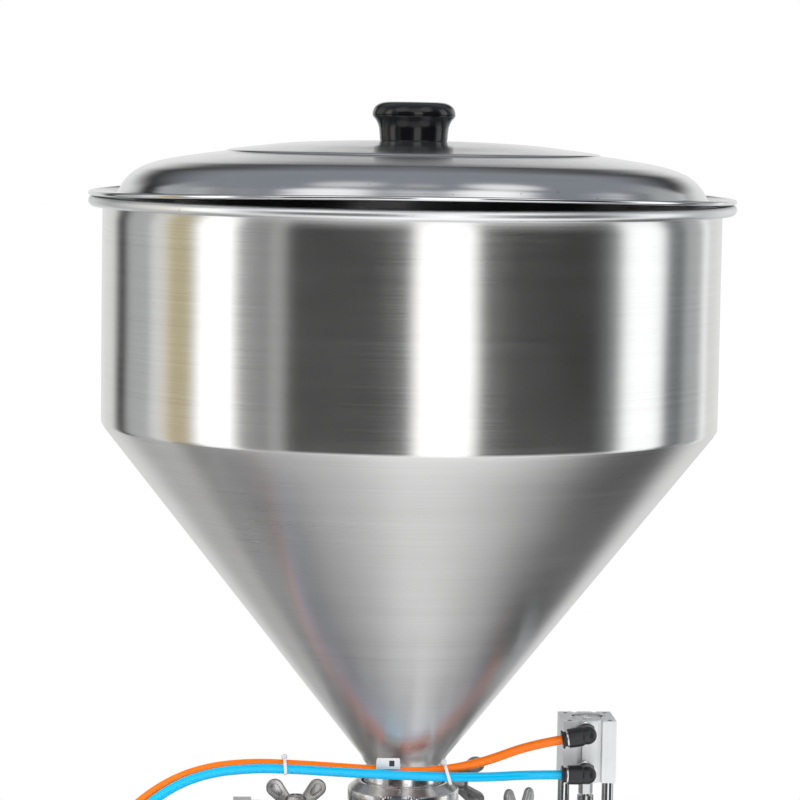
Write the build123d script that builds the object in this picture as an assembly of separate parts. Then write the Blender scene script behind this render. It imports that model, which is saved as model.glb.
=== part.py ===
from build123d import *
import os
from math import pi, sin, cos, tan, radians, hypot

# Pneumatic piston liquid filler with a lidded conical hopper, in millimetres, +Z up.
# Shapes are built about the hopper's vertical axis (x = 0, y = 0) with the table at z = 0,
# and every node is then moved by HOPPER_X so that the whole machine is centred on x = 0.
# +X points from the drive end to the filling nozzle, and -Y is the operator's side.

# Main layout
HOPPER_X = 290.25          # hopper axis, measured from the machine's middle
AXIS_Z = 300.0             # height of the piston's axis above the table
BEAD_Z = AXIS_Z + 440.0    # middle of the hopper's rolled rim

# Hopper
BARREL_R = 200.0
SHEET = 1.5
BEAD_R = 3.5
BEAD_RING_R = 205.6
SEAM_Z = BEAD_Z - 143.2
CONE_END_Z = BEAD_Z - 365.4
NECK_JOINT_Z = BEAD_Z - 388.0

# Lid and its knob
LID_FLANGE_Z = BEAD_Z + 5.1
LID_FLANGE_R = 207.8
LID_SHEET = 1.2
DOME_BASE_R = 190.3
DOME_H = 35.2
KNOB_BASE_Z = LID_FLANGE_Z + DOME_H + 0.1
KNOB_TOP_Z = BEAD_Z + 66.0
KNOB_R = 26.8

# Sanitary joints: ferrules, gaskets and hinged clamps
TUBE_R = 25.4
FERRULE_R = 32.0
FERRULE_EDGE = 2.85
FERRULE_SLOPE_END = 4.9
GASKET = 1.6
CLAMP_HALF_W = 9.5
CLAMP_R = 36.5
BOLT_Y = 45.0
BOLT_R = 4.0
EAR_TOP = 31.0
RUN_CLEAR = 0.05           # radial running clearance of shafts in holes
GAP = 0.35                 # free gap between faces of bodies that move apart

# Three-way valve
LEFT_FACE_X = -68.0
RIGHT_FACE_X = 81.5
CHEST_R = 36.0
CHEST_Y = 38.0
ROTOR_R = 26.0
PORT_R = 20.0
STEM_R = 8.0
PINION_TEETH = 12
PINION_R = 12.0
TOOTH_PITCH = 2 * pi * PINION_R / PINION_TEETH

# Material cylinder, drive cylinder and stroke screw
FLANGE_HALF = 41.0
FLANGE_T = 12.0
FRONT_FLANGE_X = -99.0
BARREL_BORE = 34.0
BARREL_OUT = 38.0
SEAL_IN = 30.0
BARREL_X0 = -352.0
PISTON_BACK_X = -148.0
PISTON_L = 35.0
SEALS_X = (PISTON_BACK_X + 9, PISTON_BACK_X + 26)
ROD_R = 10.0
MATERIAL_ROD_AT = 33.0
DRIVE_CAP_X = -404.0
DRIVE_CAP_T = 20.0
DRIVE_CAP_HALF = 46.0
DRIVE_BORE = 31.5
DRIVE_OUT = 34.5
DRIVE_REAR_X = -649.0
DRIVE_ROD_AT = 28.3
SCREW_R = 8.0
WHEEL_X = -724.0
WHEEL_R = 55.0
GRIP_END_X = -790.0

# Filling nozzle and its lift cylinder
NOZZLE_X = 120.9
NOZZLE_R = 26.0
NOZZLE_TOP = AXIS_Z + 22.0
SPOUT_TOP = AXIS_Z - 45.0
SPOUT_END = AXIS_Z - 95.0
SPOUT_R = 13.0
POST_AT = 14.6
POST_R = 3.9
LIFT_Z0 = BEAD_Z - 377.0
LIFT_Z1 = BEAD_Z - 336.0
LIFT_W = 35.0
LIFT_D = 35.0

# Air tubes, 6 mm across. Heights in the routes are measured from the rim.
AIR_TUBE_R = 3.0
UPPER_ELBOW = (117.2, -34.0, BEAD_Z - 341.9)
LOWER_ELBOW = (117.5, -34.0, BEAD_Z - 368.0)
ELBOW_REACH = 17.0
UPPER_TILT = 10.0
PORT_FACE_X = -312.0
ORANGE_PORT_Y = -75.0
BLUE_PORT_Y = -95.0
PORT_Z = BEAD_Z - 560.0

TUBE_LEAD = 22.0           # straight part of a tube where it leaves a fitting
PORT_LEAD = 26.0
ORANGE_ROUTE = [
    (52, -37.5, -358.1), (28, -39.5, -363.4), (2, -40.5, -365.4), (-40, -41.6, -362.2),
    (-76, -42, -359.7), (-102, -42.6, -358.8), (-128, -44, -361.2), (-151, -46, -368.5),
    (-174, -50, -383), (-196, -57, -406), (-214, -66, -435), (-228, -74, -468), (-240, -78, -502),
    (-258, -78, -538),
]
BLUE_ROUTE = [
    (54, -40, -368.3), (28, -45.6, -367.2), (2, -47.6, -366), (-40, -48.7, -363.8),
    (-76, -49, -361.4), (-102, -49.4, -360.9), (-128, -50.8, -363.6), (-151, -54, -371.5),
    (-173, -59.5, -387), (-192, -68, -411), (-207, -77, -440), (-219, -86, -472), (-229, -93, -505),
    (-250, -96, -540),
]

# Base, cabinet and panel
PLATE_Z0 = 40.0
PLATE_Z1 = 46.0
PLATE_X = (-690.0, 40.0)
PLATE_HALF_Y = 130.0
CAB_X = (-670.0, -330.0)
CAB_HALF_Y = 120.0
CAB_TOP = 216.0
CAB_SHEET = 2.0
PANEL_Y = -CAB_HALF_Y
FOOT_X = (-655.0, 5.0)
FOOT_Y = 105.0
FOOT_R = 18.0

GAUGE_AT = (-610.0, 170.0)
REGULATOR_AT = (-545.0, 170.0)
FILL_SPEED_AT = (-490.0, 170.0)
RETURN_SPEED_AT = (-450.0, 170.0)
SELECTOR_AT = (-395.0, 170.0)
ESTOP_AT = (-460.0, 105.0)
START_AT = (-395.0, 105.0)
SHAFT_R = 4.0
BUTTON_R = 11.0
INLET_YZ = (60.0, 100.0)
INLET_R = 8.0


def save(name, *shapes):
    """Move a node's solids to their place in the machine and write them."""
    placed = [Pos(HOPPER_X, 0, 0) * solid for shape in shapes for solid in shape.solids()]
    export_step(Compound(children=placed) if len(placed) > 1 else placed[0], f"parts/{name}.step")


def block(x, y, z):
    """A box between pairs of limits."""
    size = [high - low for low, high in (x, y, z)]
    middle = [(low + high) / 2 for low, high in (x, y, z)]
    return Pos(*middle) * Box(*size)


def rod(start, end, r):
    """A round bar between two points that differ along one axis."""
    path = Vector(*end) - Vector(*start)
    plane = Plane(origin=start, z_dir=path)
    return extrude(plane * Circle(r), path.length)


def hex_bar(start, end, flats):
    """A hexagonal bar, given its width across flats."""
    path = Vector(*end) - Vector(*start)
    plane = Plane(origin=start, z_dir=path)
    return extrude(plane * RegularPolygon(flats / 2, 6, major_radius=False), path.length)


def turned(outline):
    """Revolve a closed outline of (radius, height) points about Z."""
    return revolve(make_face(Plane.XZ * Polyline(*outline, close=True)), Axis.Z)


def ferrule_outline(bore, length):
    """A clamp ferrule standing on its face, with its tube going up."""
    return [
        (bore, 0), (FERRULE_R, 0), (FERRULE_R, FERRULE_EDGE), (TUBE_R, FERRULE_SLOPE_END),
        (TUBE_R, length), (bore, length),
    ]


# ---------------------------------------------------------------- hopper and lid

def hopper_barrel():
    inner = BARREL_R - SHEET
    wall = Pos(0, 0, SEAM_Z) * turned(
        [(inner, 0), (BARREL_R, 0), (BARREL_R, BEAD_Z - SEAM_Z), (inner, BEAD_Z - SEAM_Z)])
    lip = Pos(0, 0, BEAD_Z) * turned([(inner, 0), (BEAD_RING_R, 0), (BEAD_RING_R, SHEET), (inner, SHEET)])
    bead = Pos(0, 0, BEAD_Z) * Torus(BEAD_RING_R, BEAD_R)
    return wall + lip + bead


def hopper_cone():
    slope = (BARREL_R - TUBE_R) / (SEAM_Z - CONE_END_Z)
    skin = SHEET * hypot(1, slope)
    inner = TUBE_R - SHEET
    inner_end = SEAM_Z - (BARREL_R - skin - inner) / slope
    return turned([
        (BARREL_R, SEAM_Z), (TUBE_R, CONE_END_Z), (inner, CONE_END_Z), (inner, inner_end),
        (BARREL_R - skin, SEAM_Z),
    ])


def hopper_neck():
    face = NECK_JOINT_Z + GASKET / 2
    return Pos(0, 0, face) * turned(ferrule_outline(TUBE_R - SHEET, CONE_END_Z - face))


def lid_shell():
    """A pressed dome: a shallow crown, a rounded shoulder, a flat flange and a curled edge."""
    t = LID_SHEET
    shoulder_r = 165.4
    crown_out = ThreePointArc((0, DOME_H), (106, 29.6), (shoulder_r, 20.4))
    shoulder_out = ThreePointArc((shoulder_r, 20.4), (182.4, 12.6), (DOME_BASE_R, 0))
    flange = Polyline((DOME_BASE_R, 0), (LID_FLANGE_R, 0), (LID_FLANGE_R, -t), (DOME_BASE_R - t, -t))
    shoulder_in = ThreePointArc((DOME_BASE_R - t, -t), (181.4, 11.7), (shoulder_r, 20.4 - t))
    crown_in = ThreePointArc((shoulder_r, 20.4 - t), (106, 29.6 - t), (0, DOME_H - t))
    axis_side = Line((0, DOME_H - t), (0, DOME_H))
    outline = crown_out + shoulder_out + flange + shoulder_in + crown_in + axis_side
    shell = revolve(make_face(Plane.XZ * outline), Axis.Z)
    curl = Torus(LID_FLANGE_R, 1.3)
    hole = rod((0, 0, DOME_H - 5), (0, 0, DOME_H + 5), 3.2)
    return Pos(0, 0, LID_FLANGE_Z) * (shell + curl - hole)


def lid_knob():
    top = KNOB_TOP_Z - KNOB_BASE_Z
    profile = Line((0, 0), (21.8, 0)) + Line((21.8, 0), (22.3, 6))
    profile += ThreePointArc((22.3, 6), (23.4, 12.6), (KNOB_R, top - 9.2))
    profile += ThreePointArc((KNOB_R, top - 9.2), (24.6, top - 3.2), (16.4, top))
    profile += Line((16.4, top), (0, top)) + Line((0, top), (0, 0))
    body = revolve(make_face(Plane.XZ * profile), Axis.Z)
    return Pos(0, 0, KNOB_BASE_Z) * (body - rod((0, 0, -1), (0, 0, 14), 3))


def lid_screw():
    under = LID_FLANGE_Z + DOME_H - LID_SHEET
    shank = rod((0, 0, under), (0, 0, KNOB_BASE_Z + 13), 3)
    return shank + rod((0, 0, under - 5), (0, 0, under), 6)


# ---------------------------------------------------------------- clamps

def clamp_half():
    """The +X half of a clamp about Z: a grooved half ring, a slotted ear and a hinge lug."""
    w = CLAMP_HALF_W
    ring = turned([
        (27.5, 6.7), (27.5, w), (30.5, w), (CLAMP_R, 4.5), (CLAMP_R, -4.5), (30.5, -w), (27.5, -w),
        (27.5, -6.7), (32.6, -4.2), (32.6, 4.2),
    ])
    ring &= block((1, 60), (-60, 60), (-20, 20))
    ear = block((2, EAR_TOP), (24, 54), (-8, 8)) - rod((0, 0, -9), (0, 0, 9), 34.4)
    ear -= block((0, EAR_TOP + 1), (BOLT_Y - 7.5, 55), (-4.3, 4.3))
    lug = block((2, 13), (-51, -34), (-5, 5)) - rod((0, 0, -9), (0, 0, 9), 34.4)
    lug -= rod((7.5, -BOLT_Y, -6), (7.5, -BOLT_Y, 6), 2.6)
    return ring + ear + lug


def clamp_halves():
    near = clamp_half()
    far = mirror(near, Plane.YZ) - rod((-16, BOLT_Y, -9), (-16, BOLT_Y, 9), 3.05)
    return Compound(children=[near.solids()[0], far.solids()[0]])


def hinge_pins():
    """Two pins and the two links that join the halves."""
    pins = [rod((side * 7.5, -BOLT_Y, -8), (side * 7.5, -BOLT_Y, 8), 2.5) for side in (-1, 1)]
    plate = extrude(Pos(0, -BOLT_Y) * SlotCenterToCenter(15, 10), 2)
    for side in (-1, 1):
        plate -= rod((side * 7.5, -BOLT_Y, -1), (side * 7.5, -BOLT_Y, 3), 2.5)
    links = [Pos(0, 0, 5.2) * plate, Pos(0, 0, -7.2) * plate]
    return Compound(children=[piece.solids()[0] for piece in pins + links])


def swing_bolt():
    eye = rod((-16, BOLT_Y, -4), (-16, BOLT_Y, 4), 7) - rod((-16, BOLT_Y, -5), (-16, BOLT_Y, 5), 3.05)
    shank = rod((-10, BOLT_Y, 0), (EAR_TOP + 9.6, BOLT_Y, 0), BOLT_R)
    pin = rod((-16, BOLT_Y, -8), (-16, BOLT_Y, 8), 3)
    return Compound(children=[(eye + shank).solids()[0], pin.solids()[0]])


def wing_nut(turn):
    """A wing nut on the swing bolt, its wings turned about the bolt from the clamp's axis."""
    base = EAR_TOP + GAP
    hub = rod((base, 0, 0), (base + 10, 0, 0), 7.2)
    lobe_edges = (Pos(base + 15, 14.2) * Circle(6)).edges() + (Pos(base + 4.6, 5.4) * Circle(4)).edges()
    lobe = extrude(Plane.XY * make_hull(lobe_edges), 1.4, both=True)
    nut = hub + lobe + Rot(180, 0, 0) * lobe
    nut -= rod((base - 1, 0, 0), (base + 40, 0, 0), BOLT_R + RUN_CLEAR)
    return Pos(0, BOLT_Y, 0) * Rot(90 + turn, 0, 0) * nut


NECK_PLACE = Pos(0, 0, NECK_JOINT_Z) * Rot(0, 0, -7)
LEFT_PLACE = Pos(LEFT_FACE_X - GASKET / 2, 0, AXIS_Z) * Rot(0, -90, 0)
RIGHT_PLACE = Pos(RIGHT_FACE_X + GASKET / 2, 0, AXIS_Z) * Rot(0, -90, 0) * Rot(0, 0, 9)


def gasket():
    return Pos(0, 0, -GASKET / 2) * turned([(25, 0), (FERRULE_R, 0), (FERRULE_R, GASKET), (25, GASKET)])


# ---------------------------------------------------------------- three-way valve

def tee_body():
    mid = (0, 0, AXIS_Z)
    chest = rod((0, -CHEST_Y, AXIS_Z), (0, CHEST_Y, AXIS_Z), CHEST_R)
    top_face = NECK_JOINT_Z - GASKET / 2
    neck = Pos(0, 0, top_face) * Rot(180, 0, 0) * turned(ferrule_outline(PORT_R, top_face - AXIS_Z))
    left = Pos(LEFT_FACE_X, 0, AXIS_Z) * Rot(0, 90, 0) * turned(ferrule_outline(PORT_R, -LEFT_FACE_X))
    right = Pos(RIGHT_FACE_X, 0, AXIS_Z) * Rot(0, -90, 0) * turned(ferrule_outline(PORT_R, RIGHT_FACE_X))
    body = chest + neck + left + right
    body -= rod(mid, (0, 0, top_face + 1), PORT_R)
    body -= rod((LEFT_FACE_X - 1, 0, AXIS_Z), (RIGHT_FACE_X + 1, 0, AXIS_Z), PORT_R)
    return body - rod((0, -30, AXIS_Z), (0, CHEST_Y + 1, AXIS_Z), ROTOR_R + RUN_CLEAR)


def valve_rotor():
    plug = rod((0, -29.7, AXIS_Z), (0, 37.7, AXIS_Z), ROTOR_R)
    plug -= rod((0, 0, AXIS_Z - 40), (0, 0, AXIS_Z + 40), PORT_R)
    plug -= rod((-40, 0, AXIS_Z), (0, 0, AXIS_Z), PORT_R)
    return plug + rod((0, 37, AXIS_Z), (0, 80, AXIS_Z), STEM_R)


def actuator_pinion():
    tooth = Polygon((9, -1.7), (13.4, -0.75), (13.4, 0.75), (9, 1.7), align=None)
    wheel = Circle(9.6) + PolarLocations(0, PINION_TEETH, start_angle=270) * tooth - Circle(STEM_R)
    return Pos(0, 65, AXIS_Z) * extrude(Plane.XZ * wheel, 7, both=True)


def actuator_rack():
    bar = block((-28, 28), (59, 71), (AXIS_Z - 24, AXIS_Z - 14.6))
    tooth = Polygon((-1.9, -14.7), (-0.75, -10.6), (0.75, -10.6), (1.9, -14.7), align=None)
    tooth_bar = extrude(Plane.XZ * tooth, 6, both=True)
    for step in range(-4, 4):
        bar += Pos((step + 0.5) * TOOTH_PITCH, 65, AXIS_Z) * tooth_bar
    return bar


def actuator_housing():
    body = rod((0, CHEST_Y, AXIS_Z), (0, 46, AXIS_Z), 34)
    body += block((-50, 50), (46, 84), (AXIS_Z - 32, AXIS_Z + 22))
    body -= block((-51, 51), (54, 76), (AXIS_Z - 27, AXIS_Z + 16))
    body -= rod((0, CHEST_Y - 1, AXIS_Z), (0, 80.5, AXIS_Z), STEM_R + RUN_CLEAR)
    caps = [
        block((side * 53 - 3, side * 53 + 3), (46, 84), (AXIS_Z - 32, AXIS_Z + 22)) for side in (-1, 1)
    ]
    return Compound(children=[piece.solids()[0] for piece in [body] + caps])


# ---------------------------------------------------------------- material and drive cylinders

def four_corners(at):
    return [(y * at, AXIS_Z + z * at) for y in (-1, 1) for z in (-1, 1)]


def material_flanges():
    face = LEFT_FACE_X - GASKET
    neck = Pos(face, 0, AXIS_Z) * Rot(0, -90, 0) * turned(ferrule_outline(PORT_R, face - FRONT_FLANGE_X))
    front_back = FRONT_FLANGE_X - FLANGE_T
    square = ((-FLANGE_HALF, FLANGE_HALF), (AXIS_Z - FLANGE_HALF, AXIS_Z + FLANGE_HALF))
    front = neck + block((front_back, FRONT_FLANGE_X), *square)
    front -= rod((front_back - 1, 0, AXIS_Z), (face + 1, 0, AXIS_Z), PORT_R)
    rear = block((BARREL_X0 - FLANGE_T, BARREL_X0), *square)
    rear -= rod((BARREL_X0 - 20, 0, AXIS_Z), (BARREL_X0 + 1, 0, AXIS_Z), ROD_R + RUN_CLEAR)
    for y, z in four_corners(MATERIAL_ROD_AT):
        hole = rod((BARREL_X0 - 20, y, z), (FRONT_FLANGE_X + 1, y, z), 4.1)
        front -= hole
        rear -= hole
    return Compound(children=[front.solids()[0], rear.solids()[0]])


def material_barrel():
    front_back = FRONT_FLANGE_X - FLANGE_T
    tube = rod((BARREL_X0, 0, AXIS_Z), (front_back, 0, AXIS_Z), BARREL_OUT)
    return tube - rod((BARREL_X0 - 1, 0, AXIS_Z), (front_back + 1, 0, AXIS_Z), BARREL_BORE)


def tie_rods():
    """Long and short tie rods with their nuts, and the sleeves that space the two cylinders."""
    pieces = []
    for y, z in four_corners(MATERIAL_ROD_AT):
        stud = rod((DRIVE_CAP_X, y, z), (FRONT_FLANGE_X + 8, y, z), 4)
        nut = hex_bar((FRONT_FLANGE_X, y, z), (FRONT_FLANGE_X + 6, y, z), 13)
        sleeve = rod((DRIVE_CAP_X, y, z), (BARREL_X0 - FLANGE_T, y, z), 7)
        sleeve -= rod((DRIVE_CAP_X - 1, y, z), (BARREL_X0, y, z), 4.1)
        pieces += [stud + nut, sleeve]
    rear_face = DRIVE_REAR_X - DRIVE_CAP_T
    for y, z in four_corners(DRIVE_ROD_AT):
        stud = rod((rear_face - 8, y, z), (DRIVE_CAP_X + 6, y, z), 3)
        stud += hex_bar((rear_face - 6, y, z), (rear_face, y, z), 10)
        pieces.append(stud + hex_bar((DRIVE_CAP_X, y, z), (DRIVE_CAP_X + 5, y, z), 10))
    return Compound(children=[piece.solids()[0] for piece in pieces])


def drive_caps():
    half = DRIVE_CAP_HALF
    wide = ((-half, half), (AXIS_Z - half, AXIS_Z + half))
    front = block((DRIVE_CAP_X - DRIVE_CAP_T, DRIVE_CAP_X), *wide)
    front -= rod((-430, 0, AXIS_Z), (-400, 0, AXIS_Z), ROD_R + RUN_CLEAR)
    rear_face = DRIVE_REAR_X - DRIVE_CAP_T
    rear = block((rear_face, DRIVE_REAR_X), *wide) + rod((rear_face - 15, 0, AXIS_Z), (rear_face, 0, AXIS_Z), 16)
    rear -= rod((rear_face - 16, 0, AXIS_Z), (DRIVE_REAR_X + 1, 0, AXIS_Z), SCREW_R + RUN_CLEAR)
    for y, z in four_corners(DRIVE_ROD_AT):
        hole = rod((rear_face - 1, y, z), (DRIVE_CAP_X + 1, y, z), 3.1)
        front -= hole
        rear -= hole
    return Compound(children=[front.solids()[0], rear.solids()[0]])


def drive_barrel():
    ends = (DRIVE_REAR_X, 0, AXIS_Z), (DRIVE_CAP_X - DRIVE_CAP_T, 0, AXIS_Z)
    return rod(*ends, DRIVE_OUT) - rod(*ends, DRIVE_BORE)


def drive_piston():
    front = DRIVE_CAP_X - DRIVE_CAP_T - 2
    disc = rod((front - 20, 0, AXIS_Z), (front, 0, AXIS_Z), DRIVE_BORE - RUN_CLEAR)
    return disc - rod((front - 21, 0, AXIS_Z), (front + 1, 0, AXIS_Z), ROD_R)


def piston_rod():
    return rod((-448, 0, AXIS_Z), (PISTON_BACK_X + 20, 0, AXIS_Z), ROD_R)


def seal_ring(x, r_in, r_out):
    return rod((x - 2, 0, AXIS_Z), (x + 2, 0, AXIS_Z), r_out) - rod((x - 3, 0, AXIS_Z), (x + 3, 0, AXIS_Z), r_in)


def material_piston():
    body = rod((PISTON_BACK_X, 0, AXIS_Z), (PISTON_BACK_X + PISTON_L, 0, AXIS_Z), BARREL_BORE - 0.35)
    body -= rod((PISTON_BACK_X - 1, 0, AXIS_Z), (PISTON_BACK_X + 20, 0, AXIS_Z), ROD_R)
    for x in SEALS_X:
        body -= seal_ring(x, SEAL_IN, BARREL_BORE + 1)
    return body


def piston_seals():
    return Compound(children=[seal_ring(x, SEAL_IN, BARREL_BORE - RUN_CLEAR).solids()[0] for x in SEALS_X])


def stroke_screw():
    return rod((WHEEL_X - 11, 0, AXIS_Z), (-598, 0, AXIS_Z), SCREW_R)


def handwheel():
    spoke_end = WHEEL_R - 2
    wheel = rod((WHEEL_X - 11, 0, AXIS_Z), (WHEEL_X + 11, 0, AXIS_Z), 16)
    for angle in (30, 150, 270):
        tip = (WHEEL_X, spoke_end * cos(radians(angle)), AXIS_Z + spoke_end * sin(radians(angle)))
        wheel += rod((WHEEL_X, 0, AXIS_Z), tip, 5)
    rim = revolve(Plane.XZ * Pos(WHEEL_R, 0) * RectangleRounded(13, 13, 5), Axis.Z)
    wheel += Pos(WHEEL_X, 0, AXIS_Z) * Rot(0, 90, 0) * rim
    wheel -= rod((WHEEL_X - 12, 0, AXIS_Z), (WHEEL_X + 12, 0, AXIS_Z), SCREW_R)
    return wheel + rod((GRIP_END_X + 5, 0, AXIS_Z + WHEEL_R), (WHEEL_X - 1, 0, AXIS_Z + WHEEL_R), 4)


def handwheel_grip():
    z = AXIS_Z + WHEEL_R
    grip = rod((GRIP_END_X, 0, z), (WHEEL_X - 7.5, 0, z), 10)
    grip = fillet(grip.edges().filter_by(GeomType.CIRCLE), 3.5)
    return grip - rod((GRIP_END_X + 4.5, 0, z), (WHEEL_X, 0, z), 4 + RUN_CLEAR)


# ---------------------------------------------------------------- nozzle

def nozzle_body():
    face = RIGHT_FACE_X + GASKET
    ferrule = Pos(face, 0, AXIS_Z) * Rot(0, 90, 0) * turned(ferrule_outline(0, 12))
    body = rod((NOZZLE_X, 0, SPOUT_TOP), (NOZZLE_X, 0, NOZZLE_TOP - 4), NOZZLE_R)
    body += rod((face + 6, 0, AXIS_Z), (NOZZLE_X, 0, AXIS_Z), 20)
    body += ferrule
    body += block((NOZZLE_X - 24, NOZZLE_X + 24), (-21, 21), (NOZZLE_TOP - 8, NOZZLE_TOP))
    body -= rod((NOZZLE_X, 0, SPOUT_TOP - 1), (NOZZLE_X, 0, NOZZLE_TOP - 12), 16)
    body -= rod((face - 1, 0, AXIS_Z), (NOZZLE_X, 0, AXIS_Z), 16)
    return body - rod((NOZZLE_X, 0, AXIS_Z), (NOZZLE_X, 0, NOZZLE_TOP + 1), 5 + RUN_CLEAR)


def nozzle_spout():
    return Pos(NOZZLE_X, 0, 0) * turned([
        (10, SPOUT_END), (SPOUT_R, SPOUT_END), (SPOUT_R, SPOUT_TOP - 6), (NOZZLE_R, SPOUT_TOP - 6),
        (NOZZLE_R, SPOUT_TOP), (10, SPOUT_TOP),
    ])


def nozzle_stem():
    """The stem closes the spout from below with its plug, and opens by moving down."""
    return Pos(NOZZLE_X, 0, 0) * turned([
        (0, SPOUT_END - 6), (7, SPOUT_END - 6), (12, SPOUT_END - 1.5), (12, SPOUT_END - GAP),
        (5, SPOUT_END - GAP), (5, AXIS_Z + 40), (0, AXIS_Z + 40),
    ])


def nozzle_posts():
    posts = [
        rod((NOZZLE_X + side * POST_AT, 0, NOZZLE_TOP), (NOZZLE_X + side * POST_AT, 0, LIFT_Z0), POST_R)
        for side in (-1, 1)
    ]
    return Compound(children=[post.solids()[0] for post in posts])


def nozzle_cylinder():
    """A square compact cylinder with sensor grooves, corner screws and a round end cap."""
    half = LIFT_W / 2
    body = block((-half, half), (-LIFT_D / 2, LIFT_D / 2), (LIFT_Z0, LIFT_Z1))
    for x in (-13.2, 13.2):
        for side in (-1, 1):
            groove = (side * (LIFT_D / 2 - 1.4) - 1.4, side * (LIFT_D / 2 - 1.4) + 1.4)
            body -= block((x / 2 - 1.6, x / 2 + 1.6), groove, (LIFT_Z0 - 1, LIFT_Z1 + 1))
            body -= Pos(x, side * 13.2, (LIFT_Z0 + LIFT_Z1) / 2) * Cylinder(2.4, 60)
            body += Pos(x, side * 13.2, LIFT_Z1 - 3) * Cylinder(2.4, 4)
    body -= rod((0, 0, LIFT_Z0 + 6), (0, 0, LIFT_Z1 + 1), 12 + RUN_CLEAR)
    body -= rod((0, 0, LIFT_Z0 - 1), (0, 0, LIFT_Z0 + 7), 4 + RUN_CLEAR)
    cap = rod((0, 0, LIFT_Z1 - 6), (0, 0, LIFT_Z1 - 1.2), 12 + RUN_CLEAR)
    return Pos(NOZZLE_X, 0, 0) * Compound(children=[body.solids()[0], cap.solids()[0]])


def lift_rod():
    piston = rod((NOZZLE_X, 0, LIFT_Z0 + 24), (NOZZLE_X, 0, LIFT_Z0 + 33), 12)
    shaft = rod((NOZZLE_X, 0, AXIS_Z + 61), (NOZZLE_X, 0, LIFT_Z0 + 24), 4)
    return piston + shaft + rod((NOZZLE_X, 0, AXIS_Z + 44), (NOZZLE_X, 0, AXIS_Z + 61), 2.5)


def rod_lock_nut():
    low = (NOZZLE_X, 0, AXIS_Z + 52.8)
    high = (NOZZLE_X, 0, AXIS_Z + 59.4)
    return hex_bar(low, high, 8.2) - rod(low, high, 2.5)


def stem_coupling():
    low = (NOZZLE_X, 0, AXIS_Z + 40)
    high = (NOZZLE_X, 0, AXIS_Z + 51.6)
    return rod(low, high, 5.4) - rod((NOZZLE_X, 0, AXIS_Z + 44), high, 2.5)


# ---------------------------------------------------------------- air fittings, tubes and ties

def elbow(at, tilt):
    """A push-in elbow: hexagonal base on the cylinder's face, knuckle, sleeve and release collar."""
    x, y, z = at
    base = hex_bar((x, -LIFT_D / 2, z), (x, y + 5, z), 12)
    arm = rod((0, 0, 0), (-12.5, 0, 0), 6.2) + rod((-12, 0, 0), (-ELBOW_REACH, 0, 0), 5.2)
    knuckle = Sphere(6.3)
    return base + Pos(x, y, z) * Rot(0, -tilt, 0) * (arm + knuckle)


def nozzle_elbows():
    upper = elbow(UPPER_ELBOW, UPPER_TILT)
    lower = elbow(LOWER_ELBOW, 0)
    return Compound(children=[upper.solids()[0], lower.solids()[0]])


def along_sleeve(at, tilt, reach):
    """A point on an elbow's sleeve axis, at a distance from its knuckle."""
    x, y, z = at
    return (x - reach * cos(radians(tilt)), y, z - reach * sin(radians(tilt)))


def port_fittings():
    pieces = []
    for y in (ORANGE_PORT_Y, BLUE_PORT_Y):
        wall = CAB_X[1]
        body = hex_bar((wall, y, PORT_Z), (wall + 7, y, PORT_Z), 15)
        body += rod((wall - 14, y, PORT_Z), (PORT_FACE_X, y, PORT_Z), 5)
        body += rod((wall + 6, y, PORT_Z), (PORT_FACE_X - 4, y, PORT_Z), 6.3)
        pieces.append(body.solids()[0])
    return Compound(children=pieces)


def tube_points(at, tilt, route, port_y):
    start = [along_sleeve(at, tilt, reach) for reach in (ELBOW_REACH, ELBOW_REACH + TUBE_LEAD)]
    middle = [(x, y, BEAD_Z + z) for x, y, z in route]
    end = [(PORT_FACE_X + lead, port_y, PORT_Z) for lead in (PORT_LEAD, 0)]
    return start + middle + end


def air_tube(name, points):
    """Straight runs joined by tangent arcs, each as large as its two runs allow."""
    corners = [Vector(*point) for point in points]
    runs = [end - start for start, end in zip(corners, corners[1:])]
    radii = []
    length = sum(run.length for run in runs)
    for before, after in zip(runs, runs[1:]):
        turn = radians(before.get_angle(after))
        reach = 0.45 * min(before.length, after.length)
        radii.append(reach / tan(turn / 2))
        length += radii[-1] * turn - 2 * reach
    path = FilletPolyline(*points, radius=radii)
    tube = sweep(Plane(origin=path @ 0, z_dir=path % 0) * Circle(AIR_TUBE_R), path)
    expected = pi * AIR_TUBE_R ** 2 * length
    print(f"{name}: length {length:.1f}, volume ratio {tube.volume / expected:.4f}, "
          f"smallest radius {min(radii):.0f}, radii", [round(r) for r in radii])
    return tube


def cable_tie(place, lean, band_y, band_z, head_y):
    """A snug band round both tubes, leaning along them, with a small flat head on top."""
    outer = extrude(Plane.YZ * RectangleRounded(band_y + 1.6, band_z + 1.6, 3.4), 1, both=True)
    inner = extrude(Plane.YZ * RectangleRounded(band_y, band_z, 2.6), 2, both=True)
    head = block((-2, 2), (head_y - 2, head_y + 2), (band_z / 2 + 0.4, band_z / 2 + 2.6))
    return Pos(*place) * Rot(0, -lean, 0) * (outer - inner + head)


def cable_ties():
    near_neck = cable_tie((25.5, -42.6, BEAD_Z - 365.6), 17, 13.4, 11.8, 3)
    left = cable_tie((-79.5, -45.6, BEAD_Z - 360.3), 3.5, 14, 8.4, 3.4)
    return Compound(children=[near_neck.solids()[0], left.solids()[0]])


def tube_tag():
    """A label leaf standing in front of the orange tube, on a strip laid over the tube."""
    leaf = block((-21, -5), (-45.2, -44.4), (BEAD_Z - 362.6, BEAD_Z - 354.9))
    strip = block((-21, -5), (-45.2, -37.8), (BEAD_Z - 360.2, BEAD_Z - 359.4))
    return leaf + strip


# ---------------------------------------------------------------- base, cabinet and controls

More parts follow.
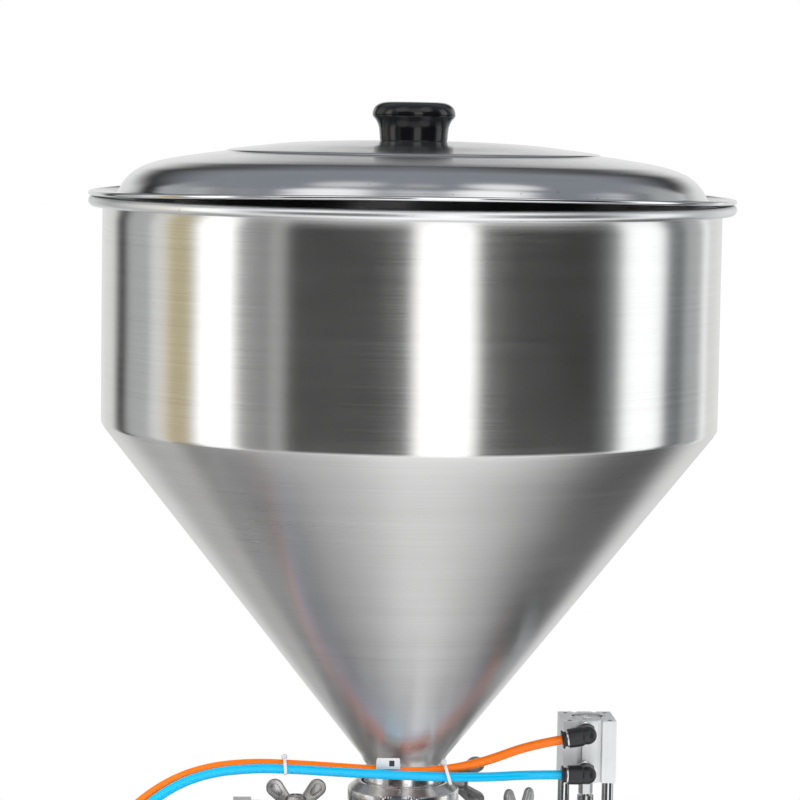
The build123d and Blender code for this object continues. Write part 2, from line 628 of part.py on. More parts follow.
def feet():
    outline = [(0, 0), (FOOT_R, 0), (FOOT_R, 10), (FOOT_R - 5, 14), (7, 14), (7, PLATE_Z0), (0, PLATE_Z0)]
    foot = turned(outline)
    places = [(x, y) for x in FOOT_X for y in (-FOOT_Y, FOOT_Y)]
    return Compound(children=[(Pos(x, y, 0) * foot).solids()[0] for x, y in places])


def base_plate():
    return block(PLATE_X, (-PLATE_HALF_Y, PLATE_HALF_Y), (PLATE_Z0, PLATE_Z1))


def panel_hole(at, r):
    x, z = at
    return rod((x, PANEL_Y - 1, z), (x, PANEL_Y + 5, z), r + RUN_CLEAR)


def cabinet_shell():
    x0, x1 = CAB_X
    t = CAB_SHEET
    shell = block(CAB_X, (-CAB_HALF_Y, CAB_HALF_Y), (PLATE_Z1, CAB_TOP))
    shell = fillet(shell.edges().filter_by(Axis.X).group_by(Axis.Z)[-1], 8)
    inner = CAB_HALF_Y - t
    shell -= block((x0 - 1, x1 - t), (-inner, inner), (PLATE_Z1 - 1, CAB_TOP - t))
    for at in (REGULATOR_AT, FILL_SPEED_AT, RETURN_SPEED_AT, SELECTOR_AT):
        shell -= panel_hole(at, SHAFT_R)
    for at in (ESTOP_AT, START_AT):
        shell -= panel_hole(at, BUTTON_R)
    for y in (ORANGE_PORT_Y, BLUE_PORT_Y):
        shell -= rod((x1 - 5, y, PORT_Z), (x1 + 1, y, PORT_Z), 5.1)
    return shell


def cabinet_cover():
    x0 = CAB_X[0]
    y, z = INLET_YZ
    plate = block((x0 - 3, x0), (-CAB_HALF_Y, CAB_HALF_Y), (PLATE_Z1, CAB_TOP))
    plate = fillet(plate.edges().filter_by(Axis.X).group_by(Axis.Z)[-1], 8)
    return plate - rod((x0 - 4, y, z), (x0 + 1, y, z), INLET_R + 0.1)


def air_inlet():
    x0 = CAB_X[0] - 3
    y, z = INLET_YZ
    body = rod((x0 - 25, y, z), (x0 + 15, y, z), INLET_R) + hex_bar((x0 - 9, y, z), (x0, y, z), 22)
    return body - rod((x0 - 26, y, z), (x0 + 16, y, z), 4)


def valve_manifold():
    rail = block((-530, -410), (-20, 50), (PLATE_Z1, PLATE_Z1 + 20))
    for step in range(4):
        x = -522 + step * 28
        rail += block((x, x + 20), (-30, 60), (PLATE_Z1 + 19, PLATE_Z1 + 52))
        rail += rod((x + 10, 60, PLATE_Z1 + 36), (x + 10, 74, PLATE_Z1 + 36), 5)
    return rail


def support_brackets():
    blocks = [
        block((DRIVE_CAP_X - 18, DRIVE_CAP_X - 2), (-30, 30), (CAB_TOP, AXIS_Z - DRIVE_CAP_HALF)),
        block((DRIVE_REAR_X - 18, DRIVE_REAR_X - 2), (-30, 30), (CAB_TOP, AXIS_Z - DRIVE_CAP_HALF)),
        block((FRONT_FLANGE_X - FLANGE_T, FRONT_FLANGE_X), (-30, 30), (PLATE_Z1, AXIS_Z - FLANGE_HALF)),
        block((-14, 14), (-25, 25), (PLATE_Z1, AXIS_Z - 20))
        - rod((0, -60, AXIS_Z), (0, 60, AXIS_Z), CHEST_R),
    ]
    return Compound(children=[piece.solids()[0] for piece in blocks])


def pressure_gauge():
    x, z = GAUGE_AT
    case = rod((x, PANEL_Y, z), (x, PANEL_Y - 14, z), 26)
    return case - rod((x, PANEL_Y - 8, z), (x, PANEL_Y - 15, z), 23)


def gauge_needle():
    x, z = GAUGE_AT
    face = PANEL_Y - 8
    hand = extrude(Plane.XZ * Polygon((-1.6, -6), (1.6, -6), (0.5, 18), (-0.5, 18), align=None), 1)
    hand = Pos(x, face - 2, z) * Rot(0, -135, 0) * hand
    return hand + rod((x, face - 4, z), (x, face - GAP, z), 3)


def panel_knob(at, r, length, flutes):
    """A fluted knob in front of the panel on a shaft that runs through it."""
    x, z = at
    face = PANEL_Y - GAP
    knob = rod((x, face, z), (x, face - length, z), r)
    knob = fillet(knob.edges().filter_by(GeomType.CIRCLE).sort_by(Axis.Y)[0], 2)
    for step in range(flutes):
        angle = 2 * pi * step / flutes
        fx, fz = x + (r + 0.8) * cos(angle), z + (r + 0.8) * sin(angle)
        knob -= rod((fx, face - 4, fz), (fx, face - length - 1, fz), 1.9)
    return knob + rod((x, face, z), (x, PANEL_Y + 14, z), SHAFT_R)


def mode_selector():
    x, z = SELECTOR_AT
    face = PANEL_Y - GAP
    base = rod((x, face, z), (x, face - 8, z), 13)
    bar = block((x - 3.5, x + 3.5), (face - 20, face - 7), (z - 12, z + 12))
    return base + bar + rod((x, face, z), (x, PANEL_Y + 14, z), SHAFT_R)


def start_button():
    x, z = START_AT
    return rod((x, PANEL_Y - 6, z), (x, PANEL_Y + 12, z), BUTTON_R)


def emergency_stop():
    x, z = ESTOP_AT
    head = rod((x, PANEL_Y - 26, z), (x, PANEL_Y - 12, z), 20)
    head = fillet(head.edges().filter_by(GeomType.CIRCLE).sort_by(Axis.Y)[0], 5)
    return head + rod((x, PANEL_Y - 13, z), (x, PANEL_Y + 12, z), BUTTON_R)


os.makedirs("parts", exist_ok=True)

save("hopper_barrel", hopper_barrel())
save("hopper_cone", hopper_cone())
save("hopper_neck", hopper_neck())
save("lid_shell", lid_shell())
save("lid_knob", lid_knob())
save("lid_screw", lid_screw())

save("clamp_gaskets", NECK_PLACE * gasket(), LEFT_PLACE * gasket(), RIGHT_PLACE * gasket())
save("neck_clamp_halves", NECK_PLACE * clamp_halves())
save("port_clamp_halves", LEFT_PLACE * clamp_halves(), RIGHT_PLACE * clamp_halves())
save("clamp_hinge_pins", *[place * hinge_pins() for place in (NECK_PLACE, LEFT_PLACE, RIGHT_PLACE)])
save("swing_bolts", *[place * swing_bolt() for place in (NECK_PLACE, LEFT_PLACE, RIGHT_PLACE)])
save("neck_wing_nut", NECK_PLACE * wing_nut(25))
save("left_wing_nut", LEFT_PLACE * wing_nut(0))
save("right_wing_nut", RIGHT_PLACE * wing_nut(56))

save("tee_body", tee_body())
save("valve_rotor", valve_rotor())
save("actuator_housing", actuator_housing())
save("actuator_rack", actuator_rack())
save("actuator_pinion", actuator_pinion())

save("material_barrel", material_barrel())
save("material_flanges", material_flanges())
save("tie_rods", tie_rods())
save("material_piston", material_piston())
save("piston_seals", piston_seals())
save("piston_rod", piston_rod())
save("drive_barrel", drive_barrel())
save("drive_caps", drive_caps())
save("drive_piston", drive_piston())
save("stroke_screw", stroke_screw())
save("handwheel", handwheel())
save("handwheel_grip", handwheel_grip())

save("nozzle_body", nozzle_body())
save("nozzle_spout", nozzle_spout())
save("nozzle_stem", nozzle_stem())
save("nozzle_posts", nozzle_posts())
save("nozzle_cylinder", nozzle_cylinder())
save("lift_rod", lift_rod())
save("rod_lock_nut", rod_lock_nut())
save("stem_coupling", stem_coupling())
save("nozzle_elbows", nozzle_elbows())

orange = tube_points(UPPER_ELBOW, UPPER_TILT, ORANGE_ROUTE, ORANGE_PORT_Y)
blue = tube_points(LOWER_ELBOW, 0, BLUE_ROUTE, BLUE_PORT_Y)
save("orange_tube", air_tube("orange_tube", orange))
save("blue_tube", air_tube("blue_tube", blue))
save("cable_ties", cable_ties())
save("tube_tag", tube_tag())
save("port_fittings", port_fittings())

save("base_plate", base_plate())
save("feet", feet())
save("cabinet_shell", cabinet_shell())
save("cabinet_cover", cabinet_cover())
save("air_inlet", air_inlet())
save("valve_manifold", valve_manifold())
save("support_brackets", support_brackets())
save("pressure_gauge", pressure_gauge())
save("gauge_needle", gauge_needle())
save("regulator_knob", panel_knob(REGULATOR_AT, 14, 26, 18))
save("fill_speed_knob", panel_knob(FILL_SPEED_AT, 9, 18, 10))
save("return_speed_knob", panel_knob(RETURN_SPEED_AT, 9, 18, 10))
save("mode_selector", mode_selector())
save("start_button", start_button())
save("emergency_stop", emergency_stop())
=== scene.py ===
from math import atan2, cos, hypot, pi, radians, sin, tau

import bmesh
import bpy
from bpy.props import FloatProperty, FloatVectorProperty, IntProperty
from mathutils import Matrix, Vector, noise


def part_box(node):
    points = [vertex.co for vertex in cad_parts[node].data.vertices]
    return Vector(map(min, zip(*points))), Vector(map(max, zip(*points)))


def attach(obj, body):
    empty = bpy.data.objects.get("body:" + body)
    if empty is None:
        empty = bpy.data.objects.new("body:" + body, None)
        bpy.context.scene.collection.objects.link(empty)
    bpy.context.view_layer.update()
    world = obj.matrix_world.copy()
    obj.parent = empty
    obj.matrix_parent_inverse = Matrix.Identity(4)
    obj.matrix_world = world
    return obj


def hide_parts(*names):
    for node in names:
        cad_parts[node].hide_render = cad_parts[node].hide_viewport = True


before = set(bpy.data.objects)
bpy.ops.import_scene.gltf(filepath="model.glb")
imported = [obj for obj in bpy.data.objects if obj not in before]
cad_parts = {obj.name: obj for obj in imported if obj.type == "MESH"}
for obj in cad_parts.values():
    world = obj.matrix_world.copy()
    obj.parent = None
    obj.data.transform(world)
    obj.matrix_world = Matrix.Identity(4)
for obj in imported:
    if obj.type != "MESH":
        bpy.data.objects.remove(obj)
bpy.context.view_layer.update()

bl_info = {
    "name": "Piston Filler",
    "version": (1, 0, 0),
    "blender": (4, 5, 0),
    "location": "View3D > Sidebar > Filler",
    "description": "Builds the visible pieces of a table-top piston filler with a conical hopper",
    "category": "Add Mesh",
}

# Sizes are in millimetres about the hopper's axis, with the table at height 0.
# MACHINE takes them to metres in the machine's own frame.
BARREL_LOW, BARREL_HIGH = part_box("hopper_barrel")
HOPPER_X = (BARREL_LOW[0] + BARREL_HIGH[0]) / 2
MACHINE = Matrix.Translation((HOPPER_X, 0, 0)) @ Matrix.Diagonal((0.001, 0.001, 0.001, 1))

BEAD_R = 3.5
RIM_Z = BARREL_HIGH[2] * 1000 - BEAD_R
RIM_RING_R = 205.6
BARREL_R = 200.0
WALL_RUN = 124.0
SHEET = 1.5
SEAM_Z = BARREL_LOW[2] * 1000
NECK_R = 25.4
FERRULE_R = 32.0
GASKET_HALF = 0.8
CONE_END_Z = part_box("hopper_cone")[0][2] * 1000
NECK_FACE_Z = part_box("hopper_neck")[0][2] * 1000
NECK_JOINT_Z = NECK_FACE_Z - GASKET_HALF
# The valve and both cylinders share one level axis
AXIS_Z = 300.0
LID_Z = RIM_Z + 5.1
LID_EDGE_R = 207.8
LID_SHEET = 1.2
KNOB_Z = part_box("lid_knob")[0][2] * 1000

LEFT_JOINT_X = -68.8
RIGHT_JOINT_X = 82.3
NECK_CLAMP_TURN = radians(-7)
RIGHT_CLAMP_TURN = radians(9)
CLAMP_PLACES = {
    "neck": Matrix.Translation((0, 0, NECK_JOINT_Z)) @ Matrix.Rotation(NECK_CLAMP_TURN, 4, "Z"),
    "left": Matrix.Translation((LEFT_JOINT_X, 0, AXIS_Z)) @ Matrix.Rotation(-pi / 2, 4, "Y"),
    "right": (Matrix.Translation((RIGHT_JOINT_X, 0, AXIS_Z)) @ Matrix.Rotation(-pi / 2, 4, "Y")
              @ Matrix.Rotation(RIGHT_CLAMP_TURN, 4, "Z")),
}
# How far a clamp's bolt is from its joint's axis, and the wing nut's foot from the clamp's middle
BOLT_Y = 45.0
NUT_BASE = 31.35

NOZZLE_X = 120.9
LIFT_TOP_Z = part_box("nozzle_cylinder")[1][2] * 1000
LIFT_HALF = 17.5
LIFT_SCREW_AT = 13.2
UPPER_ELBOW = Vector((117.2, -34.0, RIM_Z - 341.9))
LOWER_ELBOW = Vector((117.5, -34.0, RIM_Z - 368.0))
UPPER_TILT = radians(10)

TUBE_R = 3.0
# Heights along a route count from the rim
ORANGE_ROUTE = [
    (100.458, -34, -344.852), (78.793, -34, -348.672), (52, -37.5, -358.1), (28, -39.5, -363.4),
    (2, -40.5, -365.4), (-40, -41.6, -362.2), (-76, -42, -359.7), (-102, -42.6, -358.8),
    (-128, -44, -361.2), (-151, -46, -368.5), (-174, -50, -383), (-196, -57, -406),
    (-214, -66, -435), (-228, -74, -468), (-240, -78, -502), (-258, -78, -538),
    (-286, -75, -560), (-312, -75, -560),
]
BLUE_ROUTE = [
    (100.5, -34, -368), (78.5, -34, -368), (54, -40, -368.3), (28, -45.6, -367.2),
    (2, -47.6, -366), (-40, -48.7, -363.8), (-76, -49, -361.4), (-102, -49.4, -360.9),
    (-128, -50.8, -363.6), (-151, -54, -371.5), (-173, -59.5, -387), (-192, -68, -411),
    (-207, -77, -440), (-219, -86, -472), (-229, -93, -505), (-250, -96, -540),
    (-286, -95, -560), (-312, -95, -560),
]
ORANGE_LENGTH = 0.5241
BLUE_LENGTH = 0.5242

# tie: (middle, half depth, half height, lean in degrees, how far back its head sits)
TIES = {
    "right": ((25.5, -42.6, RIM_Z - 365.6), 6.7, 5.9, -17, 3.0),
    "left": ((-79.5, -45.6, RIM_Z - 360.3), 7.0, 4.2, -3.5, 3.4),
}
TAG_X = -13.0
TAG_FRONT_Y = -44.42
TAG_Z = RIM_Z - 358.8

DIAL_AT = (-610.0, -128.0, 170.0)


# ---------------------------------------------------------------- outlines

def rounded(corners, steps=5):
    """Round the corners of a closed outline; each corner is (x, y) or (x, y, radius)."""
    outline = []
    count = len(corners)
    for index, corner in enumerate(corners):
        here = Vector(corner[:2])
        radius = corner[2] if len(corner) > 2 else 0
        if not radius:
            outline.append(here)
            continue
        before = Vector(corners[index - 1][:2]) - here
        after = Vector(corners[(index + 1) % count][:2]) - here
        half = before.angle(after) / 2
        reach = min(radius / max(1e-6, sin(half) / cos(half)), before.length * 0.5, after.length * 0.5)
        start = here + before.normalized() * reach
        end = here + after.normalized() * reach
        for step in range(steps + 1):
            t = step / steps
            outline.append(start * (1 - t) ** 2 + here * 2 * t * (1 - t) + end * t ** 2)
    return [tuple(point) for point in outline]


def flowing(points, steps=6):
    """A smooth line through points, with several steps between each pair."""
    line = []
    for index in range(len(points) - 1):
        p0 = points[max(index - 1, 0)]
        p1, p2 = points[index], points[index + 1]
        p3 = points[min(index + 2, len(points) - 1)]
        for step in range(steps):
            t = step / steps
            line.append(tuple(
                0.5 * (2 * b + (c - a) * t + (2 * a - 5 * b + 4 * c - d) * t * t
                       + (3 * b - a - 3 * c + d) * t ** 3)
                for a, b, c, d in zip(p0, p1, p2, p3)))
    return line + [tuple(points[-1])]


def arc(centre, radius, start, end, steps=12):
    """Points along a circle between two angles in degrees."""
    angles = [radians(start + (end - start) * step / steps) for step in range(steps + 1)]
    return [(centre[0] + radius * cos(a), centre[1] + radius * sin(a)) for a in angles]


def inset(line, depth):
    """A copy of an open line, moved sideways by a depth."""
    moved = []
    for index, point in enumerate(line):
        ahead = Vector(line[min(index + 1, len(line) - 1)])
        behind = Vector(line[max(index - 1, 0)])
        along = (ahead - behind).normalized()
        moved.append((max(point[0] + along.y * depth, 0), point[1] - along.x * depth))
    return moved


def capsule(start, start_r, end, end_r, steps=10):
    """The hull of two circles, as a closed outline."""
    start, end = Vector(start), Vector(end)
    along = end - start
    heading = atan2(along.y, along.x)
    lean = (start_r - end_r) / along.length
    turn = pi / 2 - atan2(lean, (1 - lean * lean) ** 0.5)
    outline = []
    for step in range(steps + 1):
        angle = heading - turn + 2 * turn * step / steps
        outline.append(tuple(end + end_r * Vector((cos(angle), sin(angle)))))
    for step in range(steps + 1):
        angle = heading + turn + (tau - 2 * turn) * step / steps
        outline.append(tuple(start + start_r * Vector((cos(angle), sin(angle)))))
    return outline


def polygon(sides, flats, turn=0.0):
    """A regular polygon of a width across flats."""
    radius = flats / 2 / cos(pi / sides)
    angles = [turn + tau * side / sides for side in range(sides)]
    return [(radius * cos(angle), radius * sin(angle)) for angle in angles]


def rectangle(left, low, right, high, radius, steps):
    """A rectangle with round corners."""
    corners = ((left, low), (right, low), (right, high), (left, high))
    return rounded([(x, y, radius) for x, y in corners], steps)


def facing(direction, at):
    """A placement whose own Z axis points along a direction."""
    turn = Vector((0, 0, 1)).rotation_difference(Vector(direction)).to_matrix().to_4x4()
    return Matrix.Translation(at) @ turn


def route_place(point):
    """A point of a tube's route, in metres in the machine's own frame."""
    x, y, drop = point
    return MACHINE @ Vector((x, y, RIM_Z + drop))


# ---------------------------------------------------------------- meshes

class Shape:
    """Closed shells in millimetres, gathered into one piece."""

    def __init__(self):
        self.mesh = bmesh.new()

    def take(self, shell, place, finish):
        """Add one shell at its place, with the number of its finish."""
        bmesh.ops.remove_doubles(shell, verts=shell.verts, dist=1e-4)
        bmesh.ops.recalc_face_normals(shell, faces=shell.faces)
        for face in shell.faces:
            face.material_index = finish
        shell.transform(place)
        passing = bpy.data.meshes.new("passing")
        shell.to_mesh(passing)
        shell.free()
        self.mesh.from_mesh(passing)
        bpy.data.meshes.remove(passing)
        return self

    def turned(self, outline, place=Matrix(), segments=64, start=0.0, sweep=tau, warp=None, finish=0):
        """Turn a closed outline of (radius, height) about Z, all the way or over a sweep."""
        shell = bmesh.new()
        full = sweep >= tau
        rings = []
        for step in range(segments if full else segments + 1):
            angle = start + sweep * step / segments
            ring = []
            for radius, height in outline:
                out, up = warp(radius, height, angle) if warp else (0.0, 0.0)
                radius += out if radius else 0.0
                ring.append(shell.verts.new((radius * cos(angle), radius * sin(angle), height + up)))
            rings.append(ring)
        count = len(outline)
        for step in range(segments):
            here, there = rings[step], rings[(step + 1) % len(rings)]
            for index in range(count):
                after = (index + 1) % count
                corners = (here[index], there[index], there[after], here[after])
                shell.faces.new(corners)
        if not full:
            shell.faces.new(rings[0])
            shell.faces.new(rings[-1][::-1])
        return self.take(shell, place, finish)

    def slab(self, outline, low, high, place=Matrix(), edge=0.0, steps=2, finish=0):
        """Raise a closed outline from one height to another, with rounded edges."""
        shell = bmesh.new()
        bottom = shell.faces.new([shell.verts.new((x, y, low)) for x, y in outline])
        raised = bmesh.ops.extrude_face_region(shell, geom=[bottom])
        for vert in raised["geom"]:
            if isinstance(vert, bmesh.types.BMVert):
                vert.co.z = high
        if edge:
            sharp = [e for e in shell.edges if e.calc_face_angle(0) > radians(50)]
            bmesh.ops.bevel(shell, geom=sharp, offset=edge, segments=steps, profile=0.5, affect="EDGES")
        return self.take(shell, place, finish)

    def looped(self, path, section, place=Matrix(), finish=0):
        """Carry a closed section of (outward, sideways) round a closed path in the YZ plane."""
        shell = bmesh.new()
        rings = []
        count = len(path)
        for index in range(count):
            along = Vector(path[(index + 1) % count]) - Vector(path[index - 1])
            out = Vector((along.y, -along.x)).normalized()
            at = Vector(path[index])
            ring = [shell.verts.new((side, *(at + out * depth))) for depth, side in section]
            rings.append(ring)
        for index in range(count):
            here, there = rings[index], rings[(index + 1) % count]
            for corner in range(len(section)):
                after = (corner + 1) % len(section)
                shell.faces.new((here[corner], there[corner], there[after], here[after]))
        return self.take(shell, place, finish)

    def made(self, name, *finishes, sharp=38.0):
        """Finish the piece as an object in the machine's frame."""
        self.mesh.transform(MACHINE)
        mesh = bpy.data.meshes.new(name)
        self.mesh.to_mesh(mesh)
        self.mesh.free()
        for polygon_face in mesh.polygons:
            polygon_face.use_smooth = True
        mesh.set_sharp_from_angle(angle=radians(sharp))
        for finish in finishes:
            mesh.materials.append(finish)
        piece = bpy.data.objects.new(name, mesh)
        bpy.context.scene.collection.objects.link(piece)
        return piece


def stand_for(piece, body, slot, *nodes):
    """Tell the frame which body a piece moves with and hide the nodes it stands for; the slot is not used."""
    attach(piece, body)
    if nodes:
        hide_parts(*nodes)
    return piece


def dress(material, *nodes):
    """Give carried-over nodes a finish."""
    for name in nodes:
        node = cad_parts[name]
        if not node.material_slots:
            node.data.materials.append(material)
        for slot in node.material_slots:
            slot.material = material


# ---------------------------------------------------------------- finishes

# Turns the stretched highlight of a surface brushed round its axis
BRUSHED_ROUND = 0.25


class Value:
    """A socket whose arithmetic adds Math nodes."""

    def __init__(self, nodes, socket):
        self.nodes = nodes
        self.socket = socket

    def math(self, operation, first, second=0.0):
        return self.nodes.node("ShaderNodeMath", {"operation": operation}, {0: first, 1: second})

    def __add__(self, other):
        return self.math("ADD", self, other)

    def __sub__(self, other):
        return self.math("SUBTRACT", self, other)

    def __rsub__(self, other):
        return self.math("SUBTRACT", other, self)

    def __mul__(self, other):
        return self.math("MULTIPLY", self, other)

    __radd__ = __add__
    __rmul__ = __mul__


class Nodes:
    """A node tree under construction."""

    def __init__(self, tree):
        self.tree = tree
        tree.nodes.clear()

    def node(self, kind, settings=None, sockets=None, out=0):
        """Add a node: its settings first, then the values or links of its sockets."""
        node = self.tree.nodes.new(kind)
        for key, value in (settings or {}).items():
            setattr(node, key, value)
        for key, value in (sockets or {}).items():
            if isinstance(value, Value):
                self.tree.links.new(value.socket, node.inputs[key])
            else:
                node.inputs[key].default_value = value
        return Value(self, node.outputs[out]) if node.outputs else node

    def place(self):
        return self.node("ShaderNodeTexCoord", out="Object")

    def along(self, axis):
        """The X, Y or Z place on the piece, in metres."""
        return self.node("ShaderNodeSeparateXYZ", None, {0: self.place()}, out="XYZ".index(axis))

    def vector(self, operation, *values, out=0):
        """Add a Vector Math node; a measure comes from its second output."""
        return self.node("ShaderNodeVectorMath", {"operation": operation}, dict(enumerate(values)), out)

    def scaled(self, scales):
        return self.vector("MULTIPLY", self.place(), scales)

    def grain(self, scales, detail=2.0, rough=0.5):
        """Noise from 0 to 1, stretched by how many times it changes per metre along X, Y and Z."""
        sockets = {"Vector": self.scaled(scales), "Scale": 1.0, "Detail": detail, "Roughness": rough}
        return self.node("ShaderNodeTexNoise", None, sockets)

    def step(self, value, low, high, start=0.0, end=1.0):
        """A soft step between two levels of a value."""
        sockets = {"Value": value, "From Min": low, "From Max": high, "To Min": start, "To Max": end}
        return self.node("ShaderNodeMapRange", {"interpolation_type": "SMOOTHSTEP"}, sockets)

    def mix(self, amount, first, second):
        """Blend two colours."""
        return self.node("ShaderNodeMix", {"data_type": "RGBA"}, {0: amount, 6: first, 7: second}, out=2)

    def bump(self, height, depth, strength=1.0):
        """A surface relief of a depth in metres."""
        return self.node("ShaderNodeBump", None, {"Strength": strength, "Distance": depth, "Height": height})


class Finish(Nodes):
    """A material with one Principled shader."""

    def __init__(self, name):
        self.material = bpy.data.materials.new(name)
        self.material.use_nodes = True
        super().__init__(self.material.node_tree)

    def surface(self, sockets):
        shader = self.node("ShaderNodeBsdfPrincipled", None, sockets)
        self.node("ShaderNodeOutputMaterial", None, {"Surface": shader})
        return self.material


def grey(level, warmth=0.0):
    """A neutral colour, a little warm or cool."""
    return (level * (1 + warmth), level, level * (1 - warmth), 1.0)


def brushed_steel(name, settings, lines, rough, stretch=0.0, turn=0.0, level=None):
    """Stainless sheet with fine brush lines, broad polishing bands, stains and light scratches."""
    level = settings.steel_level if level is None else level
    make = Finish(name)
    fine = make.grain(lines, detail=4.0, rough=0.65)
    broad = make.grain(tuple(value / 12 for value in lines), detail=2.0)
    cloud = make.grain((9.0, 9.0, 7.0), detail=4.0, rough=0.6)
    speck = make.grain((70.0, 70.0, 260.0), detail=2.0)
    scratch = make.step(speck, 0.70, 0.74)
    shade = 0.5 + (fine - 0.5) * 0.9 + (broad - 0.5) * 0.45 + (cloud - 0.5) * 0.5
    colour = make.mix(shade, grey(level * 0.84, 0.012), grey(level * 1.08))
    colour = make.mix(scratch * 0.10, colour, grey(level * 1.1))
    roughness = rough + (fine - 0.5) * settings.brush_depth + (cloud - 0.5) * 0.10 + scratch * 0.015
    return make.surface({
        "Base Color": colour, "Metallic": 1.0, "Roughness": roughness,
        "Anisotropic": stretch, "Anisotropic Rotation": turn,
        "Normal": make.bump(fine, 0.00002, 0.5),
    })


def polished_steel(name, level, rough, rings, stretch=0.0, turn=0.0):
    """Buffed sheet: buffing rings, wiping haze and a few pits."""
    make = Finish(name)
    fine = make.grain(rings, detail=3.0, rough=0.6)
    haze = make.grain((14.0, 14.0, 14.0), detail=5.0, rough=0.62)
    pit = make.step(make.grain((240.0, 240.0, 240.0), detail=1.0), 0.74, 0.78)
    shade = 0.5 + (fine - 0.5) * 0.5 + (haze - 0.5) * 0.6
    colour = make.mix(shade, grey(level * 0.9, -0.01), grey(level * 1.04, -0.01))
    colour = make.mix(pit * 0.35, colour, grey(level * 0.55))
    roughness = rough + (haze - 0.5) * 0.10 + (fine - 0.5) * 0.06 + pit * 0.12
    return make.surface({
        "Base Color": colour, "Metallic": 1.0, "Roughness": roughness,
        "Anisotropic": stretch, "Anisotropic Rotation": turn,
        "Normal": make.bump(haze, 0.00006, 0.25),
    })


def cast_steel(name, level, rough):
    """Cast and tumbled stainless: a dimpled skin, darker hollows and rubbed high spots."""
    make = Finish(name)
    skin = make.grain((420.0, 420.0, 420.0), detail=4.0, rough=0.6)
    lump = make.grain((110.0, 110.0, 110.0), detail=2.0)
    wear = make.step(make.grain((60.0, 60.0, 60.0), detail=3.0), 0.42, 0.66)
    colour = make.mix(0.35 + (skin - 0.5) * 0.8 + wear * 0.4, grey(level * 0.72, 0.02), grey(level * 1.05))
    roughness = rough + (skin - 0.5) * 0.22 - wear * 0.08
    return make.surface({
        "Base Color": colour, "Metallic": 1.0, "Roughness": roughness,
        "Normal": make.bump(skin * 0.5 + lump, 0.00022, 0.5),
    })


def anodised_alloy(name, dark, light, metal):
    """Clear anodised aluminium: extrusion lines, a fine matt grain and handling marks."""
    make = Finish(name)
    lines = make.grain((900.0, 900.0, 6.0), detail=3.0)
    matt = make.grain((2600.0, 2600.0, 2600.0), detail=2.0)
    marks = make.grain((45.0, 45.0, 30.0), detail=4.0, rough=0.6)
    colour = make.mix(0.5 + (lines - 0.5) * 0.6 + (marks - 0.5) * 0.5, dark, light)
    roughness = 0.42 + (matt - 0.5) * 0.18 + (marks - 0.5) * 0.16
    return make.surface({
        "Base Color": colour, "Metallic": metal, "Roughness": roughness,
        "Normal": make.bump(matt * 0.6 + lines * 0.4, 0.00003, 0.6),
    })


def moulded_plastic(name, colour, rough, coat=0.0, texture=1500.0, depth=0.00004, shine=0.5):
    """Moulded plastic: a fine spark texture, flow marks and rubbed patches."""
    make = Finish(name)
    skin = make.grain((texture, texture, texture), detail=2.0)
    flow = make.grain((55.0, 40.0, 70.0), detail=4.0, rough=0.6)
    dark = tuple(channel * 0.78 for channel in colour[:3]) + (1.0,)
    light = tuple(min(channel * 1.12 + 0.004, 1.0) for channel in colour[:3]) + (1.0,)
    return make.surface({
        "Base Color": make.mix(0.5 + (flow - 0.5) * 0.9 + (skin - 0.5) * 0.3, dark, light),
        "Roughness": rough + (skin - 0.5) * 0.14 + (flow - 0.5) * 0.12,
        "Coat Weight": coat, "Coat Roughness": 0.06, "Specular IOR Level": shine,
        "Normal": make.bump(skin, depth, 0.5),
    })


def soft_tube(name, colour, shine):
    """Polyurethane tube: even colour with faint draw lines, dust, a glossy skin and a faint painted glow in
    its own colour.
    """
    make = Finish(name)
    draw = make.grain((40.0, 900.0, 900.0), detail=2.0)
    dust = make.grain((160.0, 160.0, 160.0), detail=5.0, rough=0.65)
    full = tuple(colour[:3]) + (1.0,)
    deep = tuple(channel * 0.86 for channel in colour[:3]) + (1.0,)
    return make.surface({
        "Base Color": make.mix(0.5 + (draw - 0.5) * 0.5 + (dust - 0.5) * 0.5, deep, full),
        "Roughness": shine + (dust - 0.5) * 0.10 + (draw - 0.5) * 0.06, "Specular IOR Level": 0.35,
        # Painted glow: the tube gives off a little light in its own colour, though it is no lamp
        "Emission Color": full, "Emission Strength": 0.07,
        "Normal": make.bump(draw, 0.00003, 0.35),
    })


# ---------------------------------------------------------------- settings

def level(name, text, value, low=0.0, high=4.0):
    """A number between two limits."""
    return FloatProperty(name=name, description=text, default=value, min=low, max=high, subtype="FACTOR")


def tint(name, text, value):
    """A colour."""
    return FloatVectorProperty(
        name=name, description=text, default=value, size=4, min=0, max=1, subtype="COLOR")


def size(name, text, value):
    """A length in millimetres."""
    return FloatProperty(name=name, description=text, default=value, min=0.0, subtype="NONE")


class FILLER_PG_steel(bpy.types.PropertyGroup):
    """Sheet metal, castings and alloy."""
    steel_level: level("Steel Level", "How bright the stainless sheet is", 0.74, 0, 1)
    brush_depth: level("Brush Depth", "How much the brush lines vary in roughness", 0.10, 0, 1)
    barrel_rough: level("Barrel Roughness", "Roughness of the hopper's barrel", 0.23, 0, 1)
    barrel_stretch: level("Barrel Stretch", "How far highlights stretch up the barrel", 0.85, 0, 1)
    rim_level: level("Rim Level", "How bright the rolled rim is", 0.92, 0, 1)
    rim_rough: level("Rim Roughness", "Roughness of the rolled rim", 0.36, 0, 1)
    cone_rough: level("Cone Roughness", "Roughness of the hopper's cone", 0.30, 0, 1)
    cone_stretch: level("Cone Stretch", "How far highlights stretch down the cone", 0.8, 0, 1)
    wave: size("Sheet Wave", "How far the rolled sheet wanders from round, in millimetres", 0.14)
    segments: IntProperty(name="Segments", description="Steps round the hopper", default=288, min=32)
    alloy_dark: tint("Alloy Shade", "Anodised alloy in its darker lines", (0.66, 0.68, 0.69, 1))
    alloy_light: tint("Alloy Light", "Anodised alloy in its lighter lines", (0.93, 0.95, 0.96, 1))


